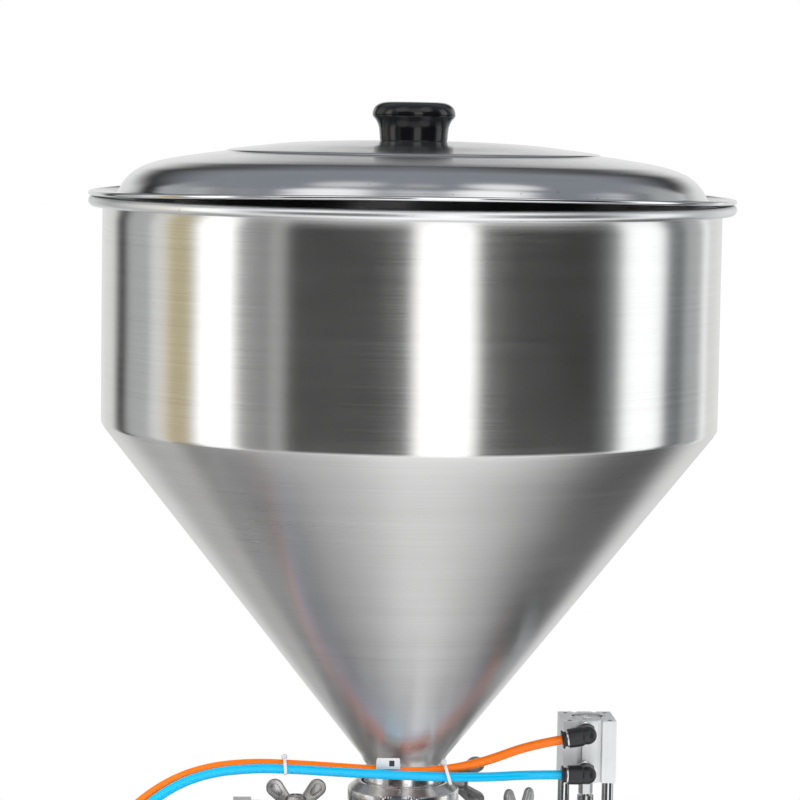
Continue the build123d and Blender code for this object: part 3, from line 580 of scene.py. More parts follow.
class FILLER_PG_lid(bpy.types.PropertyGroup):
    """The lid and its knob."""
    bow: size("Bow", "How far the lid's flange rises in front and behind, in millimetres", 5.2)
    lid_level: level("Lid Level", "How bright the lid is", 0.74, 0, 1)
    lid_rough: level("Lid Roughness", "Roughness of the lid", 0.14, 0, 1)
    knob_colour: tint("Knob Colour", "The moulded knob", (0.003, 0.003, 0.004, 1))


class FILLER_PG_air(bpy.types.PropertyGroup):
    """Air tubes and what is on them."""
    orange: tint("Orange Tube", "The upper tube", (1.0, 0.19, 0.0, 1))
    blue: tint("Blue Tube", "The lower tube", (0.0, 0.49, 0.86, 1))
    nylon: tint("Nylon", "Cable ties and the tag", (0.80, 0.80, 0.80, 1))
    fitting: tint("Fitting", "Push-in fittings", (0.012, 0.013, 0.015, 1))
    shine: level("Tube Roughness", "Roughness of the tube's skin", 0.10, 0, 1)


class FILLER_PG_studio(bpy.types.PropertyGroup):
    """The camera, the light and the floor."""
    camera_place: FloatVectorProperty(
        name="Camera Place", description="Where the camera stands", default=(0.14025, -2.116, 0.8107),
        subtype="TRANSLATION", unit="LENGTH")
    camera_aim: FloatVectorProperty(
        name="Camera Aim", description="Turn to the right, pitch down and roll", subtype="EULER",
        default=(radians(3.89), radians(5.34), radians(0.92)), unit="ROTATION")
    lens: FloatProperty(name="Lens", description="Focal length", default=147.2, unit="CAMERA")
    studio_turn: FloatProperty(
        name="Studio Turn", description="Turns the ring of soft boxes", default=radians(-4.0),
        unit="ROTATION")
    ring_level: level("Ring Level", "Brightness of the ring of soft boxes", 1.0)
    ceiling: tint("Ceiling", "The studio's ceiling", (0.28, 0.30, 0.33, 1))
    lamp_power: FloatProperty(
        name="Lamp Power", description="Power of the side and back lamps", default=36.0, unit="POWER")
    floor_colour: tint("Floor", "The floor's colour", (0.90, 0.90, 0.90, 1))


# ---------------------------------------------------------------- operators

class FILLER_OT_stage(bpy.types.Operator):
    """Set up the floor, the ring of soft boxes, the lamps and the camera"""
    bl_idname = "filler.stage"
    bl_label = "Stage"

    # name: (middle in degrees from the front, half width, softness, level, colour)
    SOFT_BOXES = {
        "left_screen": (-115, 14, 4, 0.50, (0.97, 1.0, 1.0)),
        "left_edge": (-107, 3, 2.5, 0.36, (1.0, 1.0, 1.0)),
        "warm_strip": (-95, 7.5, 2, 0.55, (1.0, 0.85, 0.50)),
        "left_box": (-76.5, 8.5, 4.5, 1.60, (1.0, 1.0, 1.0)),
        "left_spill": (-66, 11, 8, 0.32, (1.0, 1.0, 1.0)),
        "left_slit": (-49, 2.4, 2.2, 0.40, (1.0, 1.0, 1.0)),
        "front_box": (12.5, 11, 3, 1.60, (1.0, 1.0, 1.0)),
        "front_spill": (12.5, 19, 8, 0.10, (1.0, 1.0, 1.0)),
        "right_box": (94.5, 10.5, 4.5, 1.25, (1.0, 1.0, 1.0)),
        "right_spill": (97, 19, 8, 0.22, (0.9, 1.0, 1.02)),
        "right_wall": (130, 10, 4, 0.48, (0.95, 1.0, 1.0)),
        "dark_ring": (0, 400, 1, 0.03, (1.05, 1.0, 0.96)),
    }
    # The low wall behind the machine, which ends not far above the rim
    REAR_WALL = {"rear_wall": (178, 42, 5, 0.80, (1.0, 1.0, 1.0))}
    # What the table and the lower walls send up: pale in front, dark on the right
    TABLE_GLOW = {
        "table_front": (20, 54, 30, 0.44, (1.0, 1.0, 1.0)),
        "table_right": (124, 26, 8, -0.66, (1.0, 1.0, 1.0)),
        "table_slit": (-107, 5, 4, -0.30, (1.0, 1.0, 1.0)),
        "table_left": (-140, 12, 8, -0.20, (1.0, 1.0, 1.0)),
        "table": (0, 400, 1, 0.70, (1.0, 1.0, 1.0)),
    }
    # name: (degrees from the front, degrees up, half width, softness, level)
    TOP_CARDS = {
        "top_left": (-42, 44, 17, 6, 1.25),
        "top_middle": (2, 42, 15, 8, 1.0),
        "top_right": (40, 46, 15, 6, 1.35),
        "over_left": (-72, 74, 6, 6, 0.75),
        "over_middle": (10, 80, 3, 4, 0.50),
        "over_right": (78, 68, 7, 6, 1.05),
    }
    # Where one part of the studio fades to the next, as the sine of the angle up
    REAR_FADE = (0.16, 0.42)
    CEILING_FADE = (0.34, 0.72)
    TABLE_FADE = (-0.34, -0.58)
    # A card wider than this goes all the way round, and these cosines light it everywhere
    FULL_CIRCLE = 360
    EVERYWHERE = (-3.0, -2.0)
    # name: (place, width, share of the lamp power)
    LAMPS = {
        "top_lamp": ((-0.5, -1.3, 3.2), 2.6, 2.2),
        "side_lamp": ((2.6, -1.4, 1.8), 1.8, 1.0),
        "back_lamp": ((-1.6, 2.6, 2.4), 2.0, 1.0),
    }
    LAMP_AIM = (0.1, 0, 0.45)
    # The floor's radius in millimetres, and where it fades out in metres from the middle
    FLOOR_R = 7000
    FLOOR_FADE = (0.75, 1.75)

    def execute(self, context):
        studio = context.scene.filler_studio
        self.light_ring(context, studio)
        self.floor(studio)
        for name, (at, across, share) in self.LAMPS.items():
            self.lamp(name, Vector(at), across, studio.lamp_power * share)
        self.camera(context, studio)
        context.scene.view_settings.view_transform = "Standard"
        return {"FINISHED"}

    def light_ring(self, context, studio):
        """What the steel mirrors: walls and cards, the ceiling, the cards overhead and the table."""
        world = bpy.data.worlds.new("studio")
        world.use_nodes = True
        context.scene.world = world
        make = Nodes(world.node_tree)
        way = make.node("ShaderNodeTexCoord", out="Generated")
        flat = make.vector("NORMALIZE", make.vector("MULTIPLY", way, (1, 1, 0)))
        height = make.node("ShaderNodeSeparateXYZ", None, {0: way}, out=2)
        ring = self.ring(make, flat, studio, self.SOFT_BOXES)
        rear = self.ring(make, flat, studio, self.REAR_WALL)
        table = self.ring(make, flat, studio, self.TABLE_GLOW)
        rear = make.mix(make.step(height, *self.REAR_FADE), rear, grey(0.0))
        walls = make.vector("ADD", ring, rear)
        light = make.mix(make.step(height, *self.CEILING_FADE), walls, studio.ceiling)
        for side, up, half, soft, strength in self.TOP_CARDS.values():
            angle, rise = radians(side) + studio.studio_turn, radians(up)
            toward = (sin(angle) * cos(rise), -cos(angle) * cos(rise), sin(rise))
            near = make.vector("DOT_PRODUCT", way, toward, out=1)
            card = make.step(near, cos(radians(half + soft)), cos(radians(half - soft)))
            light = make.mix(card, light, grey(strength * studio.ring_level))
        light = make.mix(make.step(height, *self.TABLE_FADE), light, table)
        seen = make.node("ShaderNodeLightPath", out="Is Camera Ray")
        light = make.mix(seen, light, grey(1.0))
        shader = make.node("ShaderNodeBackground", None, {"Color": light, "Strength": 1.0})
        make.node("ShaderNodeOutputWorld", None, {"Surface": shader})

    def ring(self, make, flat, studio, cards):
        """Cards standing round the machine, added up over the direction on the level."""
        total = None
        for middle, half, soft, strength, colour in cards.values():
            angle = radians(middle) + studio.studio_turn
            toward = (sin(angle), -cos(angle), 0)
            near = make.vector("DOT_PRODUCT", flat, toward, out=1)
            edges = (cos(min(radians(half + soft), pi)), cos(radians(max(half - soft, 0))))
            amount = make.step(near, *(edges if half < self.FULL_CIRCLE else self.EVERYWHERE))
            tinted = tuple(strength * studio.ring_level * channel for channel in colour)
            card = make.node("ShaderNodeVectorMath", {"operation": "SCALE"}, {0: tinted, "Scale": amount})
            total = make.vector("ADD", total, card) if total else card
        return total

    def floor(self, studio):
        """A round sheet of paper, so wide that its edge is never seen."""
        shape = Shape()
        shape.turned([(0, -6), (self.FLOOR_R, -6), (self.FLOOR_R, -0.3), (0, -0.3)], segments=96)
        make = Finish("floor_paper")
        fibre = make.grain((300.0, 300.0, 300.0), detail=4.0)
        pale = make.mix(fibre, grey(studio.floor_colour[0] * 0.985), studio.floor_colour)
        paper = make.node("ShaderNodeBsdfPrincipled", None, {
            "Base Color": pale, "Roughness": 0.9, "Emission Color": grey(1.0), "Emission Strength": 0.18})
        away = make.vector("LENGTH", make.scaled((1, 1, 0)), out=1)
        fade = make.step(away, *self.FLOOR_FADE)
        clear = make.node("ShaderNodeBsdfTransparent")
        shader = make.node("ShaderNodeMixShader", None, {0: fade, 1: paper, 2: clear})
        make.node("ShaderNodeOutputMaterial", None, {"Surface": shader})
        floor = shape.made("floor", make.material)
        floor.visible_glossy = False

    def lamp(self, name, at, across, power):
        """A round lamp that faces the machine and isn't mirrored in the steel."""
        data = bpy.data.lights.new(name, "AREA")
        data.shape = "DISK"
        data.size = across
        data.energy = power
        lamp = bpy.data.objects.new(name, data)
        turn = (Vector(self.LAMP_AIM) - at).to_track_quat("-Z", "Y")
        lamp.matrix_world = Matrix.Translation(at) @ turn.to_matrix().to_4x4()
        lamp.visible_glossy = False
        bpy.context.scene.collection.objects.link(lamp)

    def camera(self, context, studio):
        data = bpy.data.cameras.new("camera")
        data.lens = studio.lens
        data.sensor_width = 36.0
        data.clip_end = 60.0
        camera = bpy.data.objects.new("camera", data)
        turn, pitch, roll = studio.camera_aim
        aim = Matrix.Rotation(-turn, 4, "Z") @ Matrix.Rotation(pi / 2 - pitch, 4, "X")
        aim = aim @ Matrix.Rotation(roll, 4, "Z")
        camera.matrix_world = Matrix.Translation(studio.camera_place) @ aim
        context.scene.collection.objects.link(camera)
        context.scene.camera = camera


class FILLER_OT_hopper(bpy.types.Operator):
    """Build the hopper's barrel with its rolled rim, its cone and its neck"""
    bl_idname = "filler.hopper"
    bl_label = "Hopper"

    def execute(self, context):
        steel = context.scene.filler_steel
        inner = BARREL_R - SHEET
        wall_z = SEAM_Z + 2.2
        lip_z = RIM_Z - 1.2

        def wander(radius, height, angle):
            """Rolled sheet is never quite round, least of all halfway up."""
            middle = (height - SEAM_Z) / (RIM_Z - SEAM_Z)
            belly = max(0.0, 4 * middle * (1 - middle))
            point = Vector((cos(angle) * 3.1, sin(angle) * 3.1, height / 90))
            return steel.wave * belly * (sin(7 * angle + height / 60) * 0.5 + noise.noise(point) * 1.6), 0.0

        outside = [(BARREL_R - 0.45, SEAM_Z), (BARREL_R - 0.12, SEAM_Z + 0.9)]
        outside += [(BARREL_R, wall_z + WALL_RUN * step / 14) for step in range(15)]
        outside += [(BARREL_R, RIM_Z - 12), (BARREL_R, RIM_Z - 1.4), (BARREL_R + 1.2, RIM_Z + 0.2)]
        lip = [(RIM_RING_R, RIM_Z + 0.4), (RIM_RING_R, RIM_Z + 1.5)]
        inside = [(inner + 1.6, RIM_Z + 1.5), (inner + 0.4, RIM_Z + 0.6)]
        inside += [(inner, lip_z - (lip_z - SEAM_Z) * step / 8) for step in range(9)]
        barrel_steel = brushed_steel(
            "barrel_steel", steel, (5.0, 5.0, 1500.0), steel.barrel_rough, steel.barrel_stretch,
            BRUSHED_ROUND)
        rim_steel = polished_steel("rim_steel", steel.rim_level, steel.rim_rough, (40.0, 40.0, 900.0))
        barrel = Shape().turned(outside + lip + inside, segments=steel.segments, warp=wander)
        bead = arc((RIM_RING_R, RIM_Z), BEAD_R, 0, 345, 23)
        barrel.turned(bead, segments=steel.segments, finish=1)
        barrel = barrel.made("barrel_sheet", barrel_steel, rim_steel)
        stand_for(barrel, "frame", "steel_barrel", "hopper_barrel")

        slope = (BARREL_R - NECK_R) / (SEAM_Z - CONE_END_Z)
        skin = SHEET * hypot(1, slope)
        bore = NECK_R - SHEET
        bore_z = SEAM_Z - (BARREL_R - skin - bore) / slope

        def cone_z(radius):
            """The height at which the cone's outside has a radius."""
            return SEAM_Z - (BARREL_R - radius) / slope

        run = [(BARREL_R - drop * slope, SEAM_Z - drop) for drop in (3, 20, 50, 80, 110, 140, 170, 195, 210)]
        outside = [(BARREL_R - 0.45, SEAM_Z), (BARREL_R - 1.15, SEAM_Z - 1.1)] + run
        outside += flowing([
            (32.4, cone_z(32.4)), (29.0, cone_z(29.0) + 0.1), (27.3, CONE_END_Z + 1.5),
            (26.75, CONE_END_Z)], 4)
        inside = [(bore, CONE_END_Z), (bore, bore_z), (BARREL_R - skin, SEAM_Z)]
        cone_steel = brushed_steel(
            "cone_steel", steel, (6.0, 6.0, 1100.0), steel.cone_rough, steel.cone_stretch,
            BRUSHED_ROUND)
        cone = Shape().turned(outside + inside, segments=steel.segments)
        stand_for(cone.made("cone_sheet", cone_steel), "frame", "steel_cone", "hopper_cone")

        face = NECK_FACE_Z
        outline = rounded([
            (bore, face), (FERRULE_R, face, 0.7), (FERRULE_R, face + 2.85, 0.8),
            (NECK_R + 0.5, face + 4.9, 1.2), (NECK_R, face + 7.4, 2), (NECK_R, CONE_END_Z),
            (bore, CONE_END_Z)])

        def ripple(radius, height, angle):
            return 0.16 * noise.noise(Vector((cos(angle) * 9, sin(angle) * 9, height))), 0.0

        neck = Shape().turned(outline, segments=128)
        for height, proud in ((CONE_END_Z, 0.75), (face + 8.2, 0.5)):
            weld = [(NECK_R + x - 0.25, height + y) for x, y in arc((0, 0), proud, 0, 330, 11)]
            neck.turned(weld, segments=160, warp=ripple)
        neck_steel = brushed_steel(
            "neck_steel", steel, (9.0, 9.0, 1300.0), 0.22, 0.6, BRUSHED_ROUND, level=0.86)
        stand_for(neck.made("neck_ferrule", neck_steel), "frame", "steel_cone", "hopper_neck")
        return {"FINISHED"}


class FILLER_OT_lid(bpy.types.Operator):
    """Build the domed lid, its curled edge and its knob"""
    bl_idname = "filler.lid"
    bl_label = "Lid"

    def execute(self, context):
        settings = context.scene.filler_lid
        crown = flowing([
            (0.0, 35.6), (40, 35.3), (77.5, 33.6), (104, 30.7), (118.5, 28.9), (121.0, 27.9), (124, 27.2),
            (136, 25.6), (149, 23.6), (158, 22.0), (165.4, 20.3), (175, 16.9), (180.3, 13.7), (184, 10.5),
            (187, 6.9), (189.2, 3.2), (190.6, 1.0), (192.6, 0.1), (196, 0.0)], 5)
        curl_from = 205.5
        crown += [(201, 0.0), (curl_from, 0.05)]
        curl = arc((LID_EDGE_R, -0.2), 1.45, 118, -150, 16)
        under = [point for point in inset(crown, LID_SHEET)[::-1] if point[0] < curl_from]
        outline = [(radius, LID_Z + height) for radius, height in crown + curl + under]

        def bow(radius, height, angle):
            """The flange rests on the rim at the sides and stands off it in front and behind."""
            share = (radius / LID_EDGE_R) ** 4 * (1.0 if sin(angle) < 0 else 0.6)
            return 0.0, settings.bow * share * sin(angle) ** 2

        shell = Shape().turned(outline, segments=256, warp=bow)
        lid_steel = polished_steel(
            "lid_steel", settings.lid_level, settings.lid_rough, (26.0, 26.0, 700.0), 0.8,
            BRUSHED_ROUND)
        stand_for(shell.made("lid_dome", lid_steel), "lid", "steel_lid", "lid_shell")

        side = flowing([
            (21.8, 0.8), (22.0, 3.0), (22.3, 6.5), (22.9, 10.0), (24.6, 13.6), (26.5, 15.9), (26.9, 17.0)], 5)
        shoulder = flowing([
            (26.85, 17.6), (26.5, 19.6), (25.2, 22.2), (22.4, 24.2), (18.6, 25.25), (12.0, 25.55),
            (0.0, 25.6)], 5)
        groove = [(26.75, 17.15), (26.45, 17.3), (26.75, 17.45)]
        outline = [(0, 0), (21.2, 0)] + side + groove + shoulder
        outline = [(radius, KNOB_Z + height) for radius, height in outline]
        knob = Shape().turned(outline, segments=128)
        knob_finish = moulded_plastic("knob_plastic", settings.knob_colour, 0.12, 0.2, 500.0, 0.00001, 0.35)
        stand_for(knob.made("knob_moulding", knob_finish), "lid", "knob_black", "lid_knob")
        return {"FINISHED"}


class FILLER_OT_clamps(bpy.types.Operator):
    """Build the clamp halves and the wing nuts"""
    bl_idname = "filler.clamps"
    bl_label = "Clamps and Wing Nuts"

    # clamp: (wing nut's body, its node, its turn about the bolt in degrees)
    NUTS = {
        "neck": ("neck_nut", "neck_wing_nut", 25),
        "left": ("left_nut", "left_wing_nut", 0),
        "right": ("right_nut", "right_wing_nut", 56),
    }

    def execute(self, context):
        casting = cast_steel("clamp_casting", 0.80, 0.27)
        nut_casting = cast_steel("wing_nut_casting", 0.52, 0.36)
        neck = self.halves(Shape(), "neck").made("neck_clamp", casting)
        stand_for(neck, "frame", "steel_cast", "neck_clamp_halves")
        ports = self.halves(self.halves(Shape(), "left"), "right").made("port_clamps", casting)
        stand_for(ports, "frame", "steel_cast", "port_clamp_halves")
        for clamp, (body, node, turn) in self.NUTS.items():
            place = (CLAMP_PLACES[clamp] @ Matrix.Translation((0, BOLT_Y, 0))
                     @ Matrix.Rotation(radians(90 + turn), 4, "X"))
            nut = self.wing_nut(Shape(), place).made(f"{clamp}_wings", nut_casting)
            stand_for(nut, body, "steel_cast", node)
        return {"FINISHED"}

    def halves(self, shape, clamp):
        """Two half rings with their slotted ears and hinge lugs."""
        ring = rounded([
            (27.6, 6.7), (27.6, 9.5, 0.8), (30.5, 9.5, 1.6), (36.5, 4.5, 2.2), (36.5, -4.5, 2.2),
            (30.5, -9.5, 1.6), (27.6, -9.5, 0.8), (27.6, -6.7), (32.6, -4.2), (32.6, 4.2)], 4)
        hug = arc((0, 0), 33.4, 86.5, 46.5, 10)
        root = hug + [(30.9, 24.3), (30.9, 37.4), (2.1, 37.4)]
        cheek = rounded([(2.1, 35.5), (30.9, 33), (30.9, 53.9, 6), (2.1, 53.9, 6)], 5)
        lug = rounded([(2.1, -34.7), (12.9, -32.3), (12.9, -50.9, 5), (2.1, -50.9, 5)], 5)
        sweep = radians(176.4)
        for side in (1, -1):
            place = CLAMP_PLACES[clamp] @ Matrix.Diagonal((side, 1, 1, 1))
            shape.turned(ring, place, 72, -sweep / 2, sweep)
            shape.slab(root, -7.9, 7.9, place, 0.8)
            for low, high in ((4.35, 7.95), (-7.95, -4.35)):
                shape.slab(cheek, low, high, place, 1.2)
            shape.slab(lug, -4.95, 4.95, place, 1.0)
        return shape

    def wing_nut(self, shape, place):
        """A hub with two splayed wings, each with a raised oval."""
        along = place @ Matrix.Rotation(pi / 2, 4, "Y")
        hub = rounded([
            (4.1, NUT_BASE), (7.1, NUT_BASE, 0.6), (7.1, NUT_BASE + 7.4, 1.4), (5.9, NUT_BASE + 9.9, 1.0),
            (4.1, NUT_BASE + 9.9)])
        shape.turned(hub, along, 48)
        for side in (1, -1):
            wing_place = place @ Matrix.Rotation(0 if side > 0 else pi, 4, "X")
            wing = capsule((NUT_BASE + 4.6, 5.4), 4.0, (NUT_BASE + 15, 14.2), 6.0, 12)
            shape.slab(wing, -1.4, 1.4, wing_place, 0.9, 3)
            oval = capsule((NUT_BASE + 11.8, 11.4), 2.3, (NUT_BASE + 15.2, 14.4), 3.1, 8)
            for face in (1, -1):
                shape.slab(oval, face * 1.1, face * 1.7, wing_place, 0.28, 2)
        return shape


class FILLER_OT_air(bpy.types.Operator):
    """Build the air tubes, their elbows, the cable ties and the tag"""
    bl_idname = "filler.air"
    bl_label = "Air Tubes and Fittings"

    def execute(self, context):
        air = context.scene.filler_air
        nickel = polished_steel("fitting_nickel", 0.74, 0.22, (300.0, 300.0, 300.0))
        black = moulded_plastic("fitting_plastic", air.fitting, 0.38, 0.1, 900.0)
        nylon = moulded_plastic("tie_nylon", air.nylon, 0.42, 0.1, 700.0)
        tag_print = moulded_plastic("tag_print", (0.02, 0.025, 0.05, 1), 0.45, 0.0, 900.0)

        elbows = Shape()
        self.elbow(elbows, UPPER_ELBOW, UPPER_TILT)
        self.elbow(elbows, LOWER_ELBOW, 0.0)
        stand_for(elbows.made("push_in_elbows", black, nickel), "frame", "nylon_black", "nozzle_elbows")

        ports = Shape()
        for route in (ORANGE_ROUTE, BLUE_ROUTE):
            x, y, drop = route[-1]
            self.port(ports, (x, y, RIM_Z + drop))
        stand_for(ports.made("push_in_ports", black, nickel), "frame", "steel_turned", "port_fittings")

        ties = Shape()
        for at, half_y, half_z, lean, head_y in TIES.values():
            self.tie(ties, at, half_y, half_z, lean, head_y)
        ties = stand_for(ties.made("nylon_ties", nylon), "frame", "nylon_white", "cable_ties")

        tag = self.tag(Shape()).made("tube_flag", nylon, tag_print)
        stand_for(tag, "frame", "nylon_white", "tube_tag")

        orange_skin = soft_tube("orange_tube_skin", air.orange, air.shine)
        orange = self.tube("orange_air_tube", ORANGE_ROUTE, orange_skin)
        stand_for(orange, "frame", "tube_orange", "orange_tube")
        blue_skin = soft_tube("blue_tube_skin", air.blue, air.shine)
        blue = self.tube("blue_air_tube", BLUE_ROUTE, blue_skin)
        stand_for(blue, "frame", "tube_blue", "blue_tube")
        for tube, route, length, pieces in (
                (orange, ORANGE_ROUTE, ORANGE_LENGTH, [tag]), (blue, BLUE_ROUTE, BLUE_LENGTH, [ties])):
            start = route_place(route[0])
        return {"FINISHED"}

    def tube(self, name, route, material):
        curve = bpy.data.curves.new(name, "CURVE")
        curve.dimensions = "3D"
        curve.bevel_depth = TUBE_R * 0.001
        curve.bevel_resolution = 7
        curve.resolution_u = 16
        curve.use_fill_caps = True
        spline = curve.splines.new("NURBS")
        spline.points.add(len(route) - 1)
        for point, place in zip(spline.points, route):
            point.co = (*route_place(place), 1.0)
        spline.order_u = 3
        spline.use_endpoint_u = True
        spline.use_smooth = True
        curve.materials.append(material)
        tube = bpy.data.objects.new(name, curve)
        bpy.context.scene.collection.objects.link(tube)
        return tube

    def elbow(self, shape, at, tilt):
        """A swivel elbow: hexagon, swivel, knuckle, sleeve, bright ring and release collar."""
        x, _, z = at
        base = facing((0, -1, 0), (x, -LIFT_HALF, z))
        shape.slab(polygon(6, 11.8, pi / 6), 0, 4.6, base, 0.35, 2, finish=1)
        shape.turned(rounded([(0, 4.2), (5.4, 4.2), (5.4, 6.2, 0.4), (0, 6.2)]), base, 48, finish=1)
        swivel = rounded([(0, 5.9), (6.1, 5.9, 0.5), (6.1, 9.6, 0.4), (5.8, 10, 0.3), (5.8, 18), (0, 18)])
        shape.turned(swivel, base, 64)
        sleeve = Matrix.Translation(at) @ Matrix.Rotation(-tilt, 4, "Y") @ Matrix.Rotation(-pi / 2, 4, "Y")
        ball = arc((0, 0), 5.95, -90, 0, 14) + [(5.75, 1.6), (5.75, 3.0), (0, 3.0)]
        shape.turned([(max(r, 0.0), h) for r, h in ball], sleeve, 64)
        body = rounded([
            (0, 2.6), (5.9, 2.6, 0.3), (6.3, 3.6, 0.6), (6.25, 12.6, 0.5), (5.7, 12.9, 0.2), (0, 12.9)])
        shape.turned(body, sleeve, 64)
        bright_ring = rounded([(0, 12.7), (5.85, 12.7, 0.2), (5.75, 14.0, 0.35), (0, 14.0)])
        shape.turned(bright_ring, sleeve, 64, finish=1)
        collar = rounded([
            (3.1, 13.6), (4.9, 13.6), (4.9, 15.5, 0.3), (6.1, 15.8, 0.4), (6.0, 16.95, 0.4),
            (3.1, 16.95, 0.3)])
        shape.turned(collar, sleeve, 64)
        return shape

    def port(self, shape, at):
        """A straight push-in port on the cabinet's end: hexagon, sleeve and release collar."""
        outward = facing((1, 0, 0), at)
        shape.slab(polygon(6, 14.9), -18, -11.2, outward, 0.4, 2, finish=1)
        shape.turned(rounded([(0, -32), (5, -32, 0.5), (5, -17), (0, -17)]), outward, 48, finish=1)
        shape.turned(rounded([(0, -11.6), (6.3, -11.6, 0.4), (6.3, -4.2, 0.6), (0, -4.2)]), outward, 64)
        collar = rounded([
            (3.1, -4.4), (4.9, -4.4), (4.9, -1.5, 0.3), (6.0, -1.3, 0.4), (6.0, 0, 0.4), (3.1, 0, 0.3)])
        shape.turned(collar, outward, 64)
        return shape

    def tie(self, shape, at, half_y, half_z, lean, head_y):
        """A ribbed band round both tubes, its flat head and the cut tail."""
        place = Matrix.Translation(at) @ Matrix.Rotation(radians(lean), 4, "Y")
        path = rectangle(-half_y, -half_z, half_y, half_z, 3.2, 6)
        section = rounded([(0.0, -1.0, 0.2), (0.75, -1.0, 0.3), (0.75, 1.0, 0.3), (0.0, 1.0, 0.2)], 2)
        shape.looped(path, section, place)
        head = rectangle(-1.9, head_y - 1.9, 1.9, head_y + 1.9, 0.6, 3)
        shape.slab(head, half_z + 0.2, half_z + 2.4, place, 0.4)
        tail = rectangle(-0.9, head_y - 1.5, 0.9, head_y + 0.2, 0.3, 2)
        shape.slab(tail, half_z + 2.3, half_z + 3.3, place)
        return shape

    def tag(self, shape):
        """A label: a front leaf with rounded corners, a strip over the tube and a dark square."""
        front = facing((0, -1, 0), (TAG_X, TAG_FRONT_Y, TAG_Z))
        leaf = rounded([(-7.9, -3.6, 0.6), (7.9, -3.6, 0.6), (7.6, 3.8, 1.4), (-7.6, 3.8, 1.4)], 4)
        shape.slab([(-x, y) for x, y in leaf], 0, 0.75, front, 0.2)
        strip = rounded([(-7.4, -44.9, 0.3), (7.4, -44.9, 0.3), (7.4, -38.2, 1.2), (-7.4, -38.2, 1.2)], 3)
        shape.slab([(x + TAG_X, y) for x, y in strip], TAG_Z - 1.35, TAG_Z - 0.65, Matrix(), 0.2)
        square = rectangle(0.6, -1.5, 4.0, 2.2, 0.3, 2)
        shape.slab(square, 0.7, 0.82, front, finish=1)
        return shape


class FILLER_OT_nozzle(bpy.types.Operator):
    """Finish the nozzle, its lift cylinder and the trim on it"""
    bl_idname = "filler.nozzle"
    bl_label = "Nozzle and Lift Cylinder"

    def execute(self, context):
        steel = context.scene.filler_steel
        alloy = anodised_alloy("anodised_alloy", steel.alloy_dark, steel.alloy_light, 0.4)
        machined_alloy = anodised_alloy("machined_alloy", grey(0.40), grey(0.60), 0.8)
        dark = moulded_plastic("socket_shadow", (0.03, 0.03, 0.03, 1), 0.5, 0.0, 900.0)
        bright = polished_steel("bright_steel", 0.78, 0.16, (60.0, 60.0, 900.0))
        turned_steel = brushed_steel("turned_steel", steel, (40.0, 40.0, 1800.0), 0.26, level=0.62)
        nut_steel = polished_steel("nut_steel", 0.50, 0.24, (200.0, 200.0, 200.0))
        dress(alloy, "nozzle_cylinder")
        dress(machined_alloy, "actuator_housing", "drive_caps", "drive_barrel", "valve_manifold",
              "support_brackets")
        ground_steel = polished_steel(
            "ground_steel", 0.66, 0.22, (30.0, 30.0, 500.0), 0.4, BRUSHED_ROUND)
        dress(ground_steel, "nozzle_posts", "lift_rod", "nozzle_stem")
        dress(turned_steel, "nozzle_body", "nozzle_spout")
        dress(nut_steel, "rod_lock_nut", "stem_coupling")

        trim = Shape()
        at = Matrix.Translation((NOZZLE_X, 0, LIFT_TOP_Z))
        ring = rounded([(9.6, -1.3), (12.0, -1.3), (12.0, -0.5, 0.2), (11.0, -0.1, 0.2), (9.6, -0.9, 0.2)], 3)
        trim.turned(ring, at, 96)
        trim.turned(rounded([(0, -1.3), (3.0, -1.3), (3.0, -0.7, 0.3), (0, -0.7)]), at, 48)
        screw_head = rounded([(1.35, -1.0), (2.3, -1.0, 0.2), (2.3, -0.15, 0.35), (1.35, -0.15)])
        for x in (-LIFT_SCREW_AT, LIFT_SCREW_AT):
            for y in (-LIFT_SCREW_AT, LIFT_SCREW_AT):
                corner = at @ Matrix.Translation((x, y, 0))
                trim.turned(screw_head, corner, 32)
                trim.slab(polygon(6, 2.6), -1.1, -0.9, corner, finish=1)
        trim = trim.made("cylinder_trim", bright, dark)
        stand_for(trim, "frame", "alloy")
        return {"FINISHED"}


class FILLER_OT_drive(bpy.types.Operator):
    """Finish the valve, the cylinders, the tie rods and the handwheel"""
    bl_idname = "filler.drive"
    bl_label = "Valve and Cylinders"

    def execute(self, context):
        steel = context.scene.filler_steel
        tube_steel = brushed_steel("tube_steel", steel, (1500.0, 8.0, 8.0), 0.28, level=0.66)
        bright_steel = polished_steel("rod_steel", 0.72, 0.18, (1200.0, 30.0, 30.0))
        valve_steel = polished_steel("valve_steel", 0.66, 0.26, (60.0, 60.0, 60.0))
        seal = moulded_plastic("silicone_seal", (0.72, 0.72, 0.70, 1), 0.5, 0.0, 500.0)
        plastic = moulded_plastic("handwheel_plastic", (0.015, 0.015, 0.016, 1), 0.36, 0.15, 700.0)
        dress(tube_steel, "material_barrel", "material_piston", "tie_rods")
        dress(bright_steel, "piston_rod", "stroke_screw", "clamp_hinge_pins", "swing_bolts", "actuator_rack",
              "actuator_pinion", "drive_piston", "lid_screw")
        dress(valve_steel, "tee_body", "valve_rotor", "material_flanges", "air_inlet")
        dress(seal, "clamp_gaskets", "piston_seals")
        dress(plastic, "handwheel", "handwheel_grip")
        return {"FINISHED"}


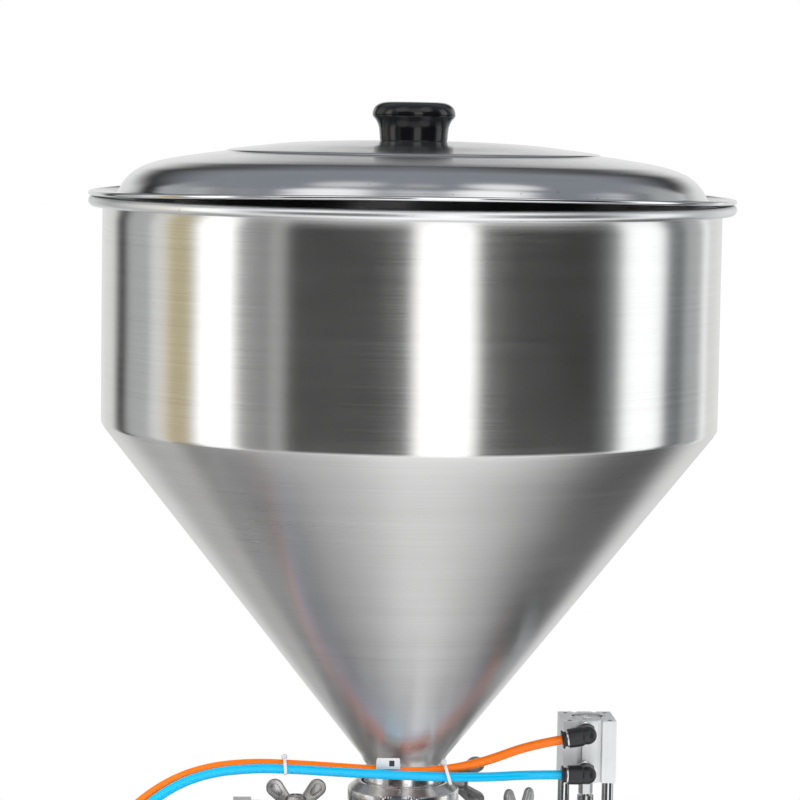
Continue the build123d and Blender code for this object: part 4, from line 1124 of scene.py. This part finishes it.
class FILLER_OT_cabinet(bpy.types.Operator):
    """Finish the cabinet, the base, the feet, the gauge and the controls"""
    bl_idname = "filler.cabinet"
    bl_label = "Cabinet and Controls"

    DIAL_SWEEP = 270
    DIAL_STEPS = 27

    def execute(self, context):
        steel = context.scene.filler_steel
        panel = brushed_steel("panel_steel", steel, (6.0, 900.0, 900.0), 0.34, level=0.66)
        rubber = moulded_plastic("foot_rubber", (0.02, 0.02, 0.02, 1), 0.7, 0.0, 400.0, 0.0001)
        plastic = moulded_plastic("control_plastic", (0.02, 0.02, 0.022, 1), 0.4, 0.1, 900.0)
        green = moulded_plastic("start_plastic", (0.02, 0.34, 0.09, 1), 0.3, 0.3, 900.0)
        red = moulded_plastic("stop_plastic", (0.62, 0.012, 0.01, 1), 0.3, 0.3, 900.0)
        needle = moulded_plastic("needle_paint", (0.55, 0.02, 0.015, 1), 0.4, 0.1, 900.0)
        case = polished_steel("gauge_case_steel", 0.62, 0.2, (300.0, 40.0, 300.0))
        dress(panel, "cabinet_shell", "cabinet_cover", "base_plate")
        dress(rubber, "feet")
        dress(plastic, "regulator_knob", "fill_speed_knob", "return_speed_knob", "mode_selector")
        dress(green, "start_button")
        dress(red, "emergency_stop")
        dress(needle, "gauge_needle")
        dress(case, "pressure_gauge")
        self.dial(Shape())
        return {"FINISHED"}

    def dial(self, shape):
        """The gauge's white card with its scale of plain marks."""
        place = facing((0, -1, 0), DIAL_AT)
        shape.turned([(3.3, 0), (22.8, 0), (22.8, 0.25), (3.3, 0.25)], place, 72)
        for step in range(self.DIAL_STEPS + 1):
            angle = radians(self.DIAL_SWEEP * (step / self.DIAL_STEPS - 0.5)) + pi / 2
            long_mark = step % 3 == 0
            inner_end = 16.4 if long_mark else 18.2
            mark = place @ Matrix.Rotation(angle, 4, "Z")
            width = 0.55 if long_mark else 0.3
            shape.slab([(inner_end, -width), (20.6, -width), (20.6, width), (inner_end, width)],
                       0.25, 0.33, mark, finish=1)
        card = moulded_plastic("dial_card", (0.82, 0.82, 0.80, 1), 0.6, 0.0, 400.0)
        ink = moulded_plastic("dial_ink", (0.02, 0.02, 0.02, 1), 0.5, 0.0, 400.0)
        stand_for(shape.made("gauge_dial", card, ink), "frame", "steel_panel")


class FILLER_PT_panel(bpy.types.Panel):
    """Lists the pieces and their settings"""
    bl_idname = "FILLER_PT_panel"
    bl_label = "Piston Filler"
    bl_space_type = "VIEW_3D"
    bl_region_type = "UI"
    bl_category = "Filler"

    def draw(self, context):
        for operator in OPERATORS:
            self.layout.operator(operator.bl_idname)
        for name in SETTINGS:
            box = self.layout.box()
            group = getattr(context.scene, name)
            for prop in group.bl_rna.properties:
                if prop.identifier not in {"rna_type", "name"}:
                    box.prop(group, prop.identifier)


OPERATORS = (
    FILLER_OT_stage, FILLER_OT_air, FILLER_OT_hopper, FILLER_OT_lid, FILLER_OT_clamps, FILLER_OT_nozzle,
    FILLER_OT_drive, FILLER_OT_cabinet,
)
SETTINGS = {
    "filler_steel": FILLER_PG_steel,
    "filler_lid": FILLER_PG_lid,
    "filler_air": FILLER_PG_air,
    "filler_studio": FILLER_PG_studio,
}


def register():
    for cls in (*SETTINGS.values(), *OPERATORS, FILLER_PT_panel):
        bpy.utils.register_class(cls)
    for name, group in SETTINGS.items():
        setattr(bpy.types.Scene, name, bpy.props.PointerProperty(type=group))


def unregister():
    for name in SETTINGS:
        delattr(bpy.types.Scene, name)
    for cls in reversed((*SETTINGS.values(), *OPERATORS, FILLER_PT_panel)):
        bpy.utils.unregister_class(cls)


def main():
    register()
    for operator in OPERATORS:
        getattr(bpy.ops.filler, operator.bl_idname.split(".")[1])()


if __name__ == "__main__":
    main()
